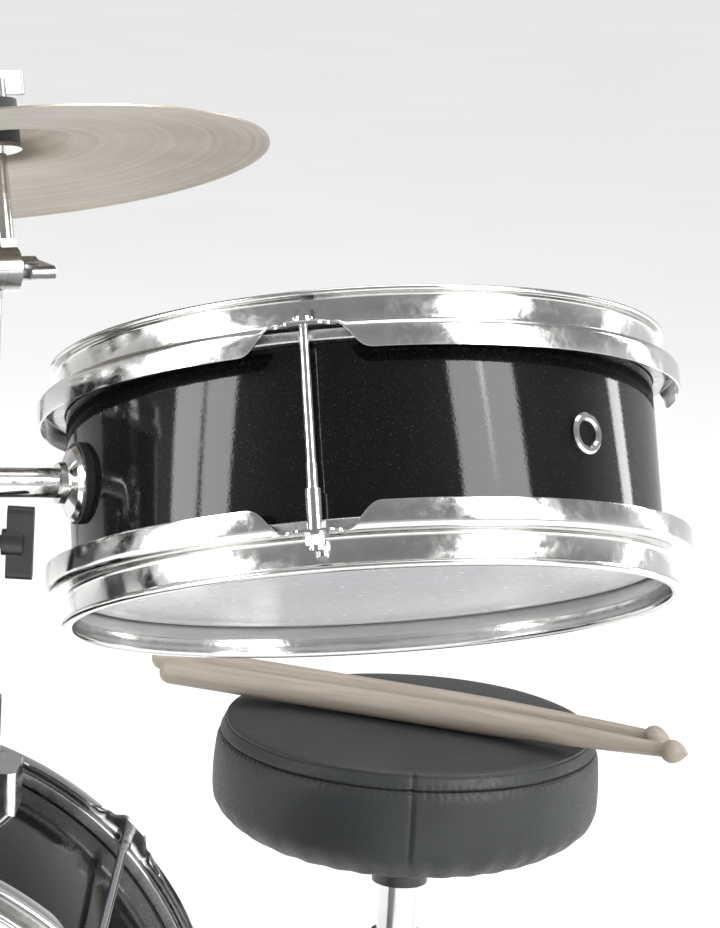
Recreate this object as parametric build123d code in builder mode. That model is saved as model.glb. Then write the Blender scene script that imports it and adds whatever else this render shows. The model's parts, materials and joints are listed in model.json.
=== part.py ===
from build123d import *
import os
from math import cos, radians, sin, sqrt
from types import SimpleNamespace

# A small three-piece acoustic drum kit with a cymbal, a bass pedal, a stool and a pair of sticks.
# Millimetres. X to the right, Y towards the player, Z up, the floor at Z = 0, and the origin
# under the middle of the whole kit.

os.makedirs("parts", exist_ok=True)

# ---------------------------------------------------------------- driving sizes
BASS_X = -53.9          # the bass drum's axis, from the kit's middle
BASS_FRONT_Y = -237.4   # the bass drum's front flange, from the kit's middle
BASS_RADIUS = 152.4     # 12 inch shell
BASS_LENGTH = 182.0
BASS_AXIS_Z = BASS_RADIUS + 26.7     # the bass drum's axis above the floor
SIDE_RADIUS = 127.0     # 10 inch shell
SIDE_LENGTH = 84.2
TOM_RADIUS = 101.6      # 8 inch shell
TOM_LENGTH = 112.0
WALL = 5.0              # every shell
CYMBAL_RADIUS = 120.5

# the pressed hoops, measured from the shell's own radius and end
SHEET = 1.2
COLLAR_GAP = 0.8        # the collar's inner face, outside the shell
COLLAR_HEIGHT = 14.5
LIP_REACH = 6.4
LIP_DEPTH = 2.4
SKIRT_REACH = 12.0
SKIRT_DEPTH = 11.3
EAR_REACH = 16.0
EAR_WIDTH = 15.0
EAR_HOLE = 5.2
WINDOW_WIDE = 26.0      # half the gap in the skirt at its free edge
WINDOW_NARROW = 11.0    # and under the flange
ROD_REACH = 9.5
ROD_RADIUS = 2.0
FILM = 0.4
FLESH_HOOP_REACH = 5.8
FLESH_HOOP_DEPTH = 5.0

# the post, the holder block and the two L-shaped arms
POST_Y = 59.6           # behind the bass drum's front flange
POST_RADIUS = 11.1
ARM_RADIUS = 6.35
ARM_BEND = 13.0
ELBOW_X = 50.1          # either side of the bass drum's axis
ELBOW_Y = 39.2          # behind the bass drum's front flange
ELBOW_Z = 487.2
ARM_HEADING = 21.2      # degrees, towards the player
ARM_SLOPE = 1.7         # degrees, down towards the drum
ARM_REACH = 50.4        # from the elbow to the shell
ARM_IN_SHELL = 14.0
SIDE_TILT = 22.9        # degrees, about the arm, towards the player
TOM_TILT = 14.0
HOLDER_BOTTOM = 442.0
HOLDER_TOP = 474.0
FIT = 0.05              # radial clearance of every running fit

# the cymbal, from the bass drum's axis and front flange
CYMBAL_X = 46.5
CYMBAL_Y = 159.3
CYMBAL_Z = 603.5
CYMBAL_LEAN_X = -9.15   # degrees the cymbal's own axis leans to the left
CYMBAL_LEAN_Y = 17.35   # and towards the player
TILTER_DROP = 45.0      # from the cymbal's edge plane down its axis to the tilter
CYMBAL_ROD_RADIUS = 4.75
CYMBAL_STUB_RADIUS = 3.0

# the pedal, from the bass drum's axis and its rear flange
AXLE_Y = 49.6
AXLE_Z = 88.0
HEEL_Y = 205.0
HEEL_Z = 12.0
CAM_RADIUS = 22.0
BEATER_LENGTH = 125.0
BEATER_REST = 28.0      # degrees, back towards the player

# the stool and the sticks
STOOL_X = 246.7         # from the bass drum's axis
STOOL_Y = 415.8         # from the bass drum's front flange
SEAT_TOP = 293.0
SEAT_SEAM = 289.0
SEAT_BOTTOM = 229.0
SEAT_RADIUS = 98.0
SEAT_BULGE = 104.0
LEG_SPREAD = 165.0
STICK_LENGTH = 298.0
STICK_RADIUS = 7.0
STICK_NECK = 3.6
STICK_BEAD = 4.9

UP = Vector(0, 0, 1)
BASS_REAR_Y = BASS_FRONT_Y + BASS_LENGTH


def kit(x, y, z):
    """A point given from the bass drum's axis and front flange."""
    return Vector(BASS_X + x, BASS_FRONT_Y + y, z)


def rear(x, y, z):
    """A point given from the bass drum's axis and rear flange."""
    return Vector(BASS_X + x, BASS_REAR_Y + y, z)


def save(builder, name):
    """Label a finished piece and write it."""
    builder.part.label = name
    export_step(builder.part, f"parts/{name}.step")


def section_plane(plane):
    """The plane through the axis of a turned piece: local X is the radius, local Y the axis."""
    return Plane(origin=plane.origin, x_dir=plane.x_dir, z_dir=-plane.y_dir)


def radial_plane(plane, angle, radius, height=0.0):
    """A plane square to a radius: local Y runs along the drum's axis, Z outwards."""
    a = radians(angle)
    outward = plane.x_dir * cos(a) + plane.y_dir * sin(a)
    origin = plane.origin + outward * radius + plane.z_dir * height
    return Plane(origin=origin, x_dir=plane.z_dir.cross(outward), z_dir=outward)


def turned(plane, points):
    """Revolve a closed outline of (radius, height) points about the plane's own Z."""
    with BuildSketch(section_plane(plane)) as outline:
        with BuildLine():
            Polyline(*points, close=True)
        make_face()
    revolve(outline.sketch, axis=Axis(plane.origin, plane.z_dir))


# ---------------------------------------------------------------- where the drums stand
def drum_on_arm(side, radius, tilt):
    """The middle plane of a drum on an arm: X towards its mount plate, Z up its axis."""
    heading = radians(ARM_HEADING)
    slope = radians(ARM_SLOPE)
    out = Vector(side * cos(heading) * cos(slope), sin(heading) * cos(slope), -sin(slope))
    lean = Vector(-side * sin(heading), cos(heading), 0)
    rise = out.cross(lean) * side
    axis = rise * cos(radians(tilt)) + lean * sin(radians(tilt))
    elbow = kit(side * ELBOW_X, ELBOW_Y, ELBOW_Z)
    return Plane(origin=elbow + out * (ARM_REACH + radius), x_dir=out * -1, z_dir=axis)


bass_plane = Plane(
    origin=kit(0, BASS_LENGTH / 2, BASS_AXIS_Z),
    x_dir=(1, 0, 0),
    z_dir=(0, -1, 0),
)
side_plane = drum_on_arm(1, SIDE_RADIUS, SIDE_TILT)
tom_plane = drum_on_arm(-1, TOM_RADIUS, TOM_TILT)

BASS = SimpleNamespace(
    name="bass", plane=bass_plane, radius=BASS_RADIUS, length=BASS_LENGTH, lugs=4, first=45.0,
)
SIDE = SimpleNamespace(
    name="side_drum", plane=side_plane, radius=SIDE_RADIUS, length=SIDE_LENGTH, lugs=3, first=60.0,
)
TOM = SimpleNamespace(
    name="tom", plane=tom_plane, radius=TOM_RADIUS, length=TOM_LENGTH, lugs=3, first=60.0,
)


def end_plane(drum, end):
    """The plane of a shell's end, its Z pointing out of the drum (end is 1 or -1)."""
    axis = drum.plane.z_dir * end
    return Plane(
        origin=drum.plane.origin + axis * (drum.length / 2),
        x_dir=drum.plane.x_dir,
        z_dir=axis,
    )


# ---------------------------------------------------------------- pieces that every drum has
def shell(drum, holes=()):
    """A ply shell with its edges bevelled inside; holes are (angle, radius of the hole)."""
    half = drum.length / 2
    inner = drum.radius - WALL
    bevel = 3.0
    outline = [
        (inner, bevel - half),
        (inner + bevel, -half),
        (drum.radius, -half),
        (drum.radius, half),
        (inner + bevel, half),
        (inner, half - bevel),
    ]
    with BuildPart() as built:
        turned(drum.plane, outline)
        for angle, hole_radius, height in holes:
            with BuildSketch(radial_plane(drum.plane, angle, inner - WALL, height)):
                Circle(hole_radius)
            extrude(amount=3 * WALL, mode=Mode.SUBTRACT)
    save(built, f"{drum.name}_shell")


def heads(drum, ends, name):
    """One film or two, each with its flesh hoop, drawn down outside the shell's edge."""
    r = drum.radius + FIT
    drop = SHEET + 0.2
    outline = [
        (0, 0),
        (r, 0),
        (r, -drop - FLESH_HOOP_DEPTH),
        (r + FLESH_HOOP_REACH, -drop - FLESH_HOOP_DEPTH),
        (r + FLESH_HOOP_REACH, -drop),
        (r + FILM, -drop),
        (r + FILM, FILM),
        (0, FILM),
    ]
    with BuildPart() as built:
        for end in ends:
            turned(end_plane(drum, end), outline)
    save(built, f"{drum.name}_{name}")


def hoop(drum, end, name):
    """A pressed hoop: collar with a rolled lip, flat flange with ears, turned-down skirt."""
    plane = end_plane(drum, end)
    r = drum.radius
    inside = r + COLLAR_GAP
    outside = inside + SHEET
    lip = r + LIP_REACH
    skirt = r + SKIRT_REACH
    outline = [
        (inside, -SHEET),
        (inside, COLLAR_HEIGHT - 0.8),
        (inside + 0.8, COLLAR_HEIGHT),
        (lip - 0.8, COLLAR_HEIGHT),
        (lip, COLLAR_HEIGHT - 0.8),
        (lip, COLLAR_HEIGHT - LIP_DEPTH + 0.8),
        (lip - 0.8, COLLAR_HEIGHT - LIP_DEPTH),
        (outside + 0.8, COLLAR_HEIGHT - LIP_DEPTH),
        (outside, COLLAR_HEIGHT - LIP_DEPTH - 0.8),
        (outside, 1.0),
        (outside + 1.0, 0),
        (skirt - 2.4, 0),
        (skirt - 0.7, -0.7),
        (skirt, -2.4),
        (skirt, -SKIRT_DEPTH),
        (skirt - SHEET, -SKIRT_DEPTH),
        (skirt - SHEET, -2.6),
        (skirt - 2.6, -SHEET),
    ]
    with BuildPart() as built:
        turned(plane, outline)
        for lug in range(drum.lugs):
            angle = end * (drum.first + lug * 360 / drum.lugs)
            with BuildSketch(radial_plane(plane, angle, r + LIP_REACH)):
                with BuildLine():
                    Spline(
                        (-WINDOW_WIDE, -SKIRT_DEPTH),
                        (-WINDOW_NARROW, -SHEET),
                        tangents=[(1, 0), (1, 0)],
                    )
                    Line((-WINDOW_NARROW, -SHEET), (WINDOW_NARROW, -SHEET))
                    Spline(
                        (WINDOW_NARROW, -SHEET),
                        (WINDOW_WIDE, -SKIRT_DEPTH),
                        tangents=[(1, 0), (1, 0)],
                    )
                    Polyline(
                        (WINDOW_WIDE, -SKIRT_DEPTH),
                        (WINDOW_WIDE, -SKIRT_DEPTH - 1),
                        (-WINDOW_WIDE, -SKIRT_DEPTH - 1),
                        (-WINDOW_WIDE, -SKIRT_DEPTH),
                    )
                make_face()
            extrude(amount=EAR_REACH, mode=Mode.SUBTRACT)
        ear_middle = (COLLAR_GAP + SHEET + EAR_REACH) / 2
        ear_length = EAR_REACH - COLLAR_GAP - SHEET
        with BuildSketch(plane.offset(-SHEET)):
            with PolarLocations(r + ear_middle, drum.lugs, start_angle=end * drum.first):
                RectangleRounded(ear_length, EAR_WIDTH, 3.0)
        extrude(amount=SHEET)
        with BuildSketch(plane.offset(-SHEET)):
            with PolarLocations(r + ROD_REACH, drum.lugs, start_angle=end * drum.first):
                Circle(EAR_HOLE / 2)
        extrude(amount=SHEET, mode=Mode.SUBTRACT)
    save(built, f"{drum.name}_{name}")


def at_lugs(drum, height, amount, sketch, mode=Mode.ADD):
    """Extrude the same small sketch at every lug of a drum, from a height along its axis."""
    with BuildSketch(drum.plane.offset(height)) as outline:
        with PolarLocations(drum.radius + ROD_REACH, drum.lugs, start_angle=drum.first):
            sketch()
    extrude(outline.sketch, amount=amount, mode=mode)


ROD_FOOT = 9.0          # where a rod ends inside its sleeve, from the shell's far end
THREAD_START = 18.2
THREAD_LENGTH = 10.0
WASHER_RADIUS = 5.0
WASHER_THICK = 1.0
ROD_COLLAR_RADIUS = 4.0
ROD_COLLAR_THICK = 1.4
ROD_HEAD = 5.6          # a cube
SLEEVE_RADIUS = 3.2
SLEEVE_LENGTH = 16.6
DOME_NUT_ACROSS = 4.2
DOME_NUT_TALL = 3.6
DOME_TALL = 2.0


def tension_rods(drum):
    """Square-headed rods that reach from the far ear into the sleeve nuts."""
    half = drum.length / 2
    washer = half + FIT
    collar = washer + WASHER_THICK
    head = collar + ROD_COLLAR_THICK
    at_lugs(drum, ROD_FOOT - half, 2 * half - ROD_FOOT + 1, lambda: Circle(ROD_RADIUS))
    at_lugs(drum, THREAD_START - half, THREAD_LENGTH, lambda: Circle(ROD_RADIUS + 0.3))
    at_lugs(drum, washer, WASHER_THICK, lambda: Circle(WASHER_RADIUS))
    at_lugs(drum, collar, ROD_COLLAR_THICK, lambda: Circle(ROD_COLLAR_RADIUS))
    at_lugs(drum, head, ROD_HEAD, lambda: Rectangle(ROD_HEAD, ROD_HEAD))


def sleeve_nuts(drum):
    """Long nuts standing on the near ear, each held through it by a domed nut below."""
    foot = -drum.length / 2
    washer = foot - FIT
    nut = washer - WASHER_THICK + FIT
    at_lugs(drum, foot + SHEET + FIT, SLEEVE_LENGTH, lambda: Circle(SLEEVE_RADIUS))
    at_lugs(drum, washer, SHEET + 2 * FIT, lambda: Circle(EAR_HOLE / 2 - FIT))
    at_lugs(drum, washer, -WASHER_THICK, lambda: Circle(WASHER_RADIUS + 0.3))
    at_lugs(drum, nut, -DOME_NUT_TALL, lambda: RegularPolygon(DOME_NUT_ACROSS, 6))
    at_lugs(drum, nut - DOME_NUT_TALL, -DOME_TALL, lambda: Circle(WASHER_RADIUS - 2.4))
    at_lugs(drum, foot + ROD_FOOT, ROD_FOOT, lambda: Circle(ROD_RADIUS + 0.02), Mode.SUBTRACT)


def mount_gasket(drum):
    """The rubber seat under a mount plate, hollowed to lie on the round shell."""
    with BuildSketch(radial_plane(drum.plane, 0, drum.radius - 1.5)) as washer:
        Circle(PLATE_RADIUS + 1.0)
        Circle(ARM_RADIUS + 1.0, mode=Mode.SUBTRACT)
    extrude(washer.sketch, amount=4.0)
    with BuildSketch(drum.plane.offset(-PLATE_RADIUS - 5)) as shell_round:
        Circle(drum.radius)
    extrude(shell_round.sketch, amount=2 * PLATE_RADIUS + 10, mode=Mode.SUBTRACT)


def mount_plate(drum):
    """The domed plate that clamps the arm, bored for it."""
    outline = [
        (ARM_RADIUS + FIT, 0),
        (PLATE_RADIUS, 0),
        (PLATE_RADIUS, 1.2),
        (PLATE_RADIUS - 2.0, 2.8),
        (PLATE_RADIUS - 5.0, 4.2),
        (ARM_RADIUS + 2.6, 5.2),
        (ARM_RADIUS + 2.2, 8.0),
        (ARM_RADIUS + FIT, 8.0),
    ]
    turned(radial_plane(drum.plane, 0, drum.radius + 2.5), outline)


PLATE_RADIUS = 16.2
VENT_ANGLE = 114.5
VENT_HOLE = 5.7
ARM_HOLE = (0, ARM_RADIUS + 1.0, 0)
POST_HOLE = (90, POST_RADIUS + 1.5, BASS_LENGTH / 2 - POST_Y)

for drum, holes, upper, lower in (
    (BASS, [POST_HOLE], "front_hoop", "rear_hoop"),
    (SIDE, [ARM_HOLE, (VENT_ANGLE, VENT_HOLE, 0)], "top_hoop", "bottom_hoop"),
    (TOM, [ARM_HOLE], "top_hoop", "bottom_hoop"),
):
    shell(drum, holes)
    hoop(drum, 1, upper)
    hoop(drum, -1, lower)

heads(BASS, (1, -1), "heads")
heads(TOM, (1, -1), "heads")
heads(SIDE, (1,), "top_head")
heads(SIDE, (-1,), "bottom_head")

with BuildPart() as side_rods:
    tension_rods(SIDE)
save(side_rods, "side_drum_tension_rods")

with BuildPart() as side_nuts:
    sleeve_nuts(SIDE)
save(side_nuts, "side_drum_sleeve_nuts")

for drum in (BASS, TOM):
    with BuildPart() as tension_set:
        sleeve_nuts(drum)
        tension_rods(drum)
    save(tension_set, f"{drum.name}_tension_rods")

with BuildPart() as side_gasket:
    mount_gasket(SIDE)
save(side_gasket, "side_drum_mount_gasket")

with BuildPart() as side_plate:
    mount_plate(SIDE)
save(side_plate, "side_drum_mount_plate")

with BuildPart() as tom_mount:
    mount_gasket(TOM)
    mount_plate(TOM)
save(tom_mount, "tom_mount_plate")

with BuildPart() as vent:
    turned(
        radial_plane(side_plane, VENT_ANGLE, SIDE_RADIUS),
        [
            (5.25, -WALL - 1.0),
            (VENT_HOLE - FIT, -WALL - 1.0),
            (VENT_HOLE - FIT, 0.02),
            (8.65, 0.02),
            (8.65, 0.7),
            (7.6, 1.6),
            (6.2, 1.6),
            (5.25, 0.6),
        ],
    )
save(vent, "side_drum_vent_grommet")


# ---------------------------------------------------------------- wing bolts
def wing_bolt(plane, shank, wing_angle=90.0):
    """A wing bolt: its tip at the plane's origin, its shank and wings along the plane's Z."""
    with BuildSketch(plane) as screw:
        Circle(2.9)
    extrude(screw.sketch, amount=shank)
    with BuildSketch(plane.offset(shank)) as hub:
        Circle(5.5)
    extrude(hub.sketch, amount=9)
    with BuildSketch(plane.offset(shank + 2)) as wings:
        SlotOverall(31, 6.0, rotation=wing_angle)
    extrude(wings.sketch, amount=11)


def bolt_hole(plane, depth):
    """The threaded hole that a wing bolt turns in."""
    with BuildSketch(plane) as hole:
        Circle(2.95)
    extrude(hole.sketch, amount=depth, mode=Mode.SUBTRACT)


# ---------------------------------------------------------------- brackets for the post and the cymbal rod
lean_x = sin(radians(CYMBAL_LEAN_X))
lean_y = sin(radians(CYMBAL_LEAN_Y))
cymbal_axis = Vector(lean_x, lean_y, sqrt(1 - lean_x**2 - lean_y**2))
cymbal_centre = kit(CYMBAL_X, CYMBAL_Y, CYMBAL_Z)
tilt_axis = UP.cross(cymbal_axis).normalized()
tilter_centre = cymbal_centre - cymbal_axis * TILTER_DROP
TILTER_RADIUS = 10.0
TILTER_THICK = 7.0
rod_top = tilter_centre + tilt_axis * (TILTER_THICK + 0.1)
SHELL_TOP = BASS_AXIS_Z + BASS_RADIUS
BOLT_SHANK = 12.0
BOLT_GAP = 0.3

post_bolt_plane = Plane(
    origin=kit(0, POST_Y + POST_RADIUS + BOLT_GAP, SHELL_TOP + 22),
    x_dir=(1, 0, 0),
    z_dir=(0, 1, 0),
)
cymbal_bolt_plane = Plane(
    origin=Vector(rod_top.X, rod_top.Y + CYMBAL_ROD_RADIUS + BOLT_GAP, SHELL_TOP + 24),
    x_dir=(1, 0, 0),
    z_dir=(0, 1, 0),
)

BRACKET_SINK = 20.0     # how far the brackets' blanks reach below the shell's top

with BuildPart() as stand_brackets:
    for foot, width, depth, boss, bore in (
        (kit(0, POST_Y, SHELL_TOP), 52, 46, POST_RADIUS + 6, POST_RADIUS),
        (Vector(rod_top.X, rod_top.Y, SHELL_TOP), 40, 34, CYMBAL_ROD_RADIUS + 6, CYMBAL_ROD_RADIUS),
    ):
        with BuildSketch(Plane(origin=foot - UP * BRACKET_SINK)):
            RectangleRounded(width, depth, 5)
        extrude(amount=BRACKET_SINK + 5)
        with BuildSketch(Plane(origin=foot + UP * 5)):
            Circle(boss)
        extrude(amount=31)
        with BuildSketch(Plane(origin=foot - UP * BRACKET_SINK)):
            Circle(bore + FIT)
        extrude(amount=BRACKET_SINK + 48, mode=Mode.SUBTRACT)
    with BuildSketch(bass_plane.offset(-BASS_LENGTH / 2)):
        Circle(BASS_RADIUS)
    extrude(amount=BASS_LENGTH, mode=Mode.SUBTRACT)
    bolt_hole(post_bolt_plane, BOLT_SHANK)
    bolt_hole(cymbal_bolt_plane, BOLT_SHANK)
save(stand_brackets, "stand_brackets")


# ---------------------------------------------------------------- post, holder, arms
POST_BOTTOM = SHELL_TOP - 51.3
with BuildPart() as post_tube:
    with BuildSketch(Plane(origin=kit(0, POST_Y, POST_BOTTOM))):
        Circle(POST_RADIUS)
        Circle(POST_RADIUS - 1.5, mode=Mode.SUBTRACT)
    extrude(amount=HOLDER_TOP - 6 - POST_BOTTOM)
save(post_tube, "post_tube")

with BuildPart() as holder:
    with BuildSketch(Plane(origin=kit(0, 0, HOLDER_BOTTOM))):
        with Locations((0, POST_Y), (-ELBOW_X, ELBOW_Y), (ELBOW_X, ELBOW_Y)):
            Circle(11.5)
        with Locations((0, POST_Y)):
            Circle(POST_RADIUS + 6)
        make_hull()
    extrude(amount=HOLDER_TOP - HOLDER_BOTTOM)
    fillet(holder.edges().group_by(Axis.Z)[-1], 2.0)
    with BuildSketch(Plane(origin=kit(0, 0, HOLDER_BOTTOM))):
        with Locations((-ELBOW_X, ELBOW_Y), (ELBOW_X, ELBOW_Y)):
            Circle(ARM_RADIUS + FIT)
    extrude(amount=HOLDER_TOP - HOLDER_BOTTOM, mode=Mode.SUBTRACT)
    with BuildSketch(Plane(origin=kit(0, 0, HOLDER_BOTTOM))):
        with Locations((0, POST_Y)):
            Circle(POST_RADIUS + 0.01)
    extrude(amount=HOLDER_TOP - HOLDER_BOTTOM - 6, mode=Mode.SUBTRACT)
    for side in (-1, 1):
        bolt_hole(Plane(origin=kit(side * (ELBOW_X + 4), ELBOW_Y, HOLDER_TOP - 11),
                        x_dir=(0, 1, 0), z_dir=(side, 0, 0)), 20)
save(holder, "arm_holder")

with BuildPart() as holder_bolts:
    for side in (-1, 1):
        wing_bolt(
            Plane(origin=kit(side * (ELBOW_X + ARM_RADIUS + 0.3), ELBOW_Y, HOLDER_TOP - 11),
                  x_dir=(0, 1, 0), z_dir=(side, 0, 0)),
            shank=10.0,
        )
save(holder_bolts, "holder_wing_bolts")


def arm(side, drum, name):
    """An L-shaped tube: down through the holder, up to the elbow and out into the drum."""
    elbow = kit(side * ELBOW_X, ELBOW_Y, ELBOW_Z)
    out = drum.plane.x_dir * -1
    foot = elbow - UP * (ELBOW_Z - HOLDER_BOTTOM + 14)
    tip = elbow + out * (ARM_REACH + ARM_IN_SHELL)
    with BuildPart() as built:
        with BuildLine() as path:
            FilletPolyline(foot, elbow, tip, radius=ARM_BEND)
        with BuildSketch(Plane(origin=foot, z_dir=UP)):
            Circle(ARM_RADIUS)
            Circle(ARM_RADIUS - 1.5, mode=Mode.SUBTRACT)
        sweep(path=path.wires()[0])
    save(built, name)


arm(1, SIDE, "side_drum_arm")
arm(-1, TOM, "tom_arm")


# ---------------------------------------------------------------- bass drum spurs
SPUR_ANGLE = 10.0       # degrees above the middle of the bass drum's side
SPUR_REACH = 16.0       # from the shell to the rod
SPUR_RADIUS = 4.75
SPUR_Y = 78.0           # behind the front flange
SPUR_FORWARD = 0.32     # how far the foot goes forward for each millimetre down
SPUR_ABOVE = 44.0
SPUR_TIP = 16.0


def spur_frame(side):
    """The spur rod's line at its bracket: the point, and the direction down the rod."""
    angle = radians(SPUR_ANGLE)
    reach = BASS_RADIUS + SPUR_REACH
    point = kit(side * reach * cos(angle), SPUR_Y, BASS_AXIS_Z + reach * sin(angle))
    down = Vector(side * sin(angle), -SPUR_FORWARD, -cos(angle)).normalized()
    return point, down


def spur_bolt_plane(side):
    """Where the wing bolt that holds a spur rod starts, square to the bass drum's side."""
    point, down = spur_frame(side)
    back = Vector(0, 1, 0)
    square = (back - down * back.dot(down)).normalized()
    return Plane(origin=point + square * (SPUR_RADIUS + BOLT_GAP), x_dir=down.cross(square), z_dir=square)


def spur_bracket(side):
    """The cast bracket on the shell, bored along the spur rod."""
    point, down = spur_frame(side)
    angle = radians(SPUR_ANGLE)
    outward = Vector(side * cos(angle), 0, sin(angle))
    middle = kit(0, SPUR_Y, BASS_AXIS_Z)
    for reach, width, height, thick in ((-4, 34, 44, 9), (0, 16, 26, SPUR_REACH - 2)):
        foot = middle + outward * (BASS_RADIUS + reach)
        with BuildSketch(Plane(origin=foot, x_dir=(0, 1, 0), z_dir=outward)) as pad:
            RectangleRounded(width, height, 3)
        extrude(pad.sketch, amount=thick)
    with BuildSketch(Plane(origin=point - down * 15, z_dir=down)) as boss:
        Circle(SPUR_RADIUS + 5.5)
    extrude(boss.sketch, amount=30)
    with BuildSketch(Plane(origin=point - down * 30, z_dir=down)) as bore:
        Circle(SPUR_RADIUS + FIT)
    extrude(bore.sketch, amount=60, mode=Mode.SUBTRACT)
    bolt_hole(spur_bolt_plane(side), BOLT_SHANK)


with BuildPart() as spur_brackets:
    for side in (-1, 1):
        spur_bracket(side)
    with BuildSketch(bass_plane):
        Circle(BASS_RADIUS)
    extrude(amount=BASS_LENGTH / 2, both=True, mode=Mode.SUBTRACT)
save(spur_brackets, "spur_brackets")

with BuildPart() as bracket_bolts:
    for plane in (post_bolt_plane, cymbal_bolt_plane, spur_bolt_plane(-1), spur_bolt_plane(1)):
        wing_bolt(plane, shank=BOLT_SHANK)
save(bracket_bolts, "bracket_wing_bolts")


def spur(side, name):
    """One spur rod and its rubber tip, cut off level at the floor."""
    point, down = spur_frame(side)
    to_floor = point.Z / -down.Z
    with BuildPart() as rod:
        with BuildSketch(Plane(origin=point - down * SPUR_ABOVE, z_dir=down)):
            Circle(SPUR_RADIUS)
        extrude(amount=SPUR_ABOVE + to_floor - 10)
    save(rod, f"spur_rod_{name}")

    with BuildPart() as tip:
        with BuildSketch(Plane(origin=point + down * (to_floor - SPUR_TIP), z_dir=down)):
            Circle(8.5)
        extrude(amount=SPUR_TIP + 12)
        with BuildSketch(Plane(origin=point + down * (to_floor - SPUR_TIP), z_dir=down)):
            Circle(SPUR_RADIUS + 0.01)
        extrude(amount=SPUR_TIP - 9.9, mode=Mode.SUBTRACT)
        split(bisect_by=Plane.XY, keep=Keep.TOP)
    save(tip, f"spur_tip_{name}")


spur(-1, "left")
spur(1, "right")


# ---------------------------------------------------------------- cymbal and its stand
cymbal_plane = Plane(origin=cymbal_centre, x_dir=tilt_axis, z_dir=cymbal_axis)
CYMBAL_ROD_BOTTOM = SHELL_TOP + 1.0
BELL_RADIUS = 40.0
BELL_HEIGHT = 21.0
BOW_HEIGHT = 9.0
BRASS = 1.2
FELT_GAP = 0.9
FELT_RADIUS = 11.0
FELT_LOW = BELL_HEIGHT - BRASS - FELT_GAP - 9.0
SHOULDER_RADIUS = CYMBAL_STUB_RADIUS + 1.4
TAB_LENGTH = TILTER_RADIUS + 1.5


def tilter_disc(centre, direction, length, radius):
    """Half of the tilter: a toothed disc on a flat tab that runs into a round rod."""
    with BuildSketch(Plane(origin=centre - tilt_axis * (TILTER_THICK / 2), z_dir=tilt_axis)) as disc:
        Circle(TILTER_RADIUS)
    extrude(disc.sketch, amount=TILTER_THICK)
    with BuildSketch(Plane(origin=centre, x_dir=tilt_axis, z_dir=direction)) as tab:
        Rectangle(TILTER_THICK, 2 * radius)
    extrude(tab.sketch, amount=TAB_LENGTH + 1)
    with BuildSketch(Plane(origin=centre + direction * TAB_LENGTH, z_dir=direction)) as rod:
        Circle(radius)
    extrude(rod.sketch, amount=length - TAB_LENGTH)
    with BuildSketch(Plane(origin=centre - tilt_axis * TILTER_THICK, z_dir=tilt_axis)) as hole:
        Circle(3.05)
    extrude(hole.sketch, amount=2 * TILTER_THICK, mode=Mode.SUBTRACT)


with BuildPart() as cymbal_rod:
    tilter_disc(rod_top, UP * -1, rod_top.Z - CYMBAL_ROD_BOTTOM, CYMBAL_ROD_RADIUS)
save(cymbal_rod, "cymbal_rod")

with BuildPart() as tilter:
    tilter_disc(tilter_centre, cymbal_axis, TILTER_DROP + FELT_LOW - 2, CYMBAL_STUB_RADIUS + 1.4)
    with BuildSketch(cymbal_plane.offset(FELT_LOW - 2.2)):
        Circle(FELT_RADIUS + 0.5)
    extrude(amount=2.0)
    with BuildSketch(cymbal_plane.offset(FELT_LOW - 2)):
        Circle(SHOULDER_RADIUS)
    extrude(amount=BELL_HEIGHT + FELT_GAP + 8.4 - FELT_LOW + 2)
    with BuildSketch(cymbal_plane.offset(FELT_LOW)):
        Circle(CYMBAL_STUB_RADIUS)
    extrude(amount=BELL_HEIGHT + 28 - FELT_LOW)
save(tilter, "cymbal_tilter")

with BuildPart() as tilter_bolt:
    bolt_head = rod_top + tilt_axis * (TILTER_THICK / 2 + 3.1)
    with BuildSketch(Plane(origin=bolt_head, z_dir=tilt_axis * -1)):
        RegularPolygon(5.5, 6)
    extrude(amount=3.0)
    with BuildSketch(Plane(origin=bolt_head, z_dir=tilt_axis * -1)):
        Circle(3.0)
    extrude(amount=2 * TILTER_THICK + 4)
    wing_bolt(
        Plane(origin=tilter_centre - tilt_axis * (TILTER_THICK / 2 + 0.1), z_dir=tilt_axis * -1),
        shank=0.2,
        wing_angle=0.0,
    )
save(tilter_bolt, "tilter_wing_bolt")

with BuildPart() as cymbal:
    with BuildSketch(section_plane(cymbal_plane)):
        with BuildLine():
            Line((6.0, BELL_HEIGHT), (12.0, BELL_HEIGHT))
            Spline((12.0, BELL_HEIGHT), (30.0, BELL_HEIGHT - 5.0), (BELL_RADIUS, BOW_HEIGHT + 0.6))
            ThreePointArc(
                (BELL_RADIUS, BOW_HEIGHT + 0.6),
                (0.62 * CYMBAL_RADIUS, 0.68 * BOW_HEIGHT + 0.4),
                (CYMBAL_RADIUS, 0.5),
            )
            Line((CYMBAL_RADIUS, 0.5), (CYMBAL_RADIUS, -0.5))
            ThreePointArc(
                (CYMBAL_RADIUS, -0.5),
                (0.62 * CYMBAL_RADIUS, 0.68 * BOW_HEIGHT - 0.7),
                (BELL_RADIUS, BOW_HEIGHT - BRASS + 0.6),
            )
            Spline(
                (BELL_RADIUS, BOW_HEIGHT - BRASS + 0.6),
                (29.4, BELL_HEIGHT - 5.0 - BRASS),
                (12.0, BELL_HEIGHT - BRASS),
            )
            Line((12.0, BELL_HEIGHT - BRASS), (6.0, BELL_HEIGHT - BRASS))
            Line((6.0, BELL_HEIGHT - BRASS), (6.0, BELL_HEIGHT))
        make_face()
    revolve(axis=Axis(cymbal_centre, cymbal_axis))
save(cymbal, "cymbal")

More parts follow.
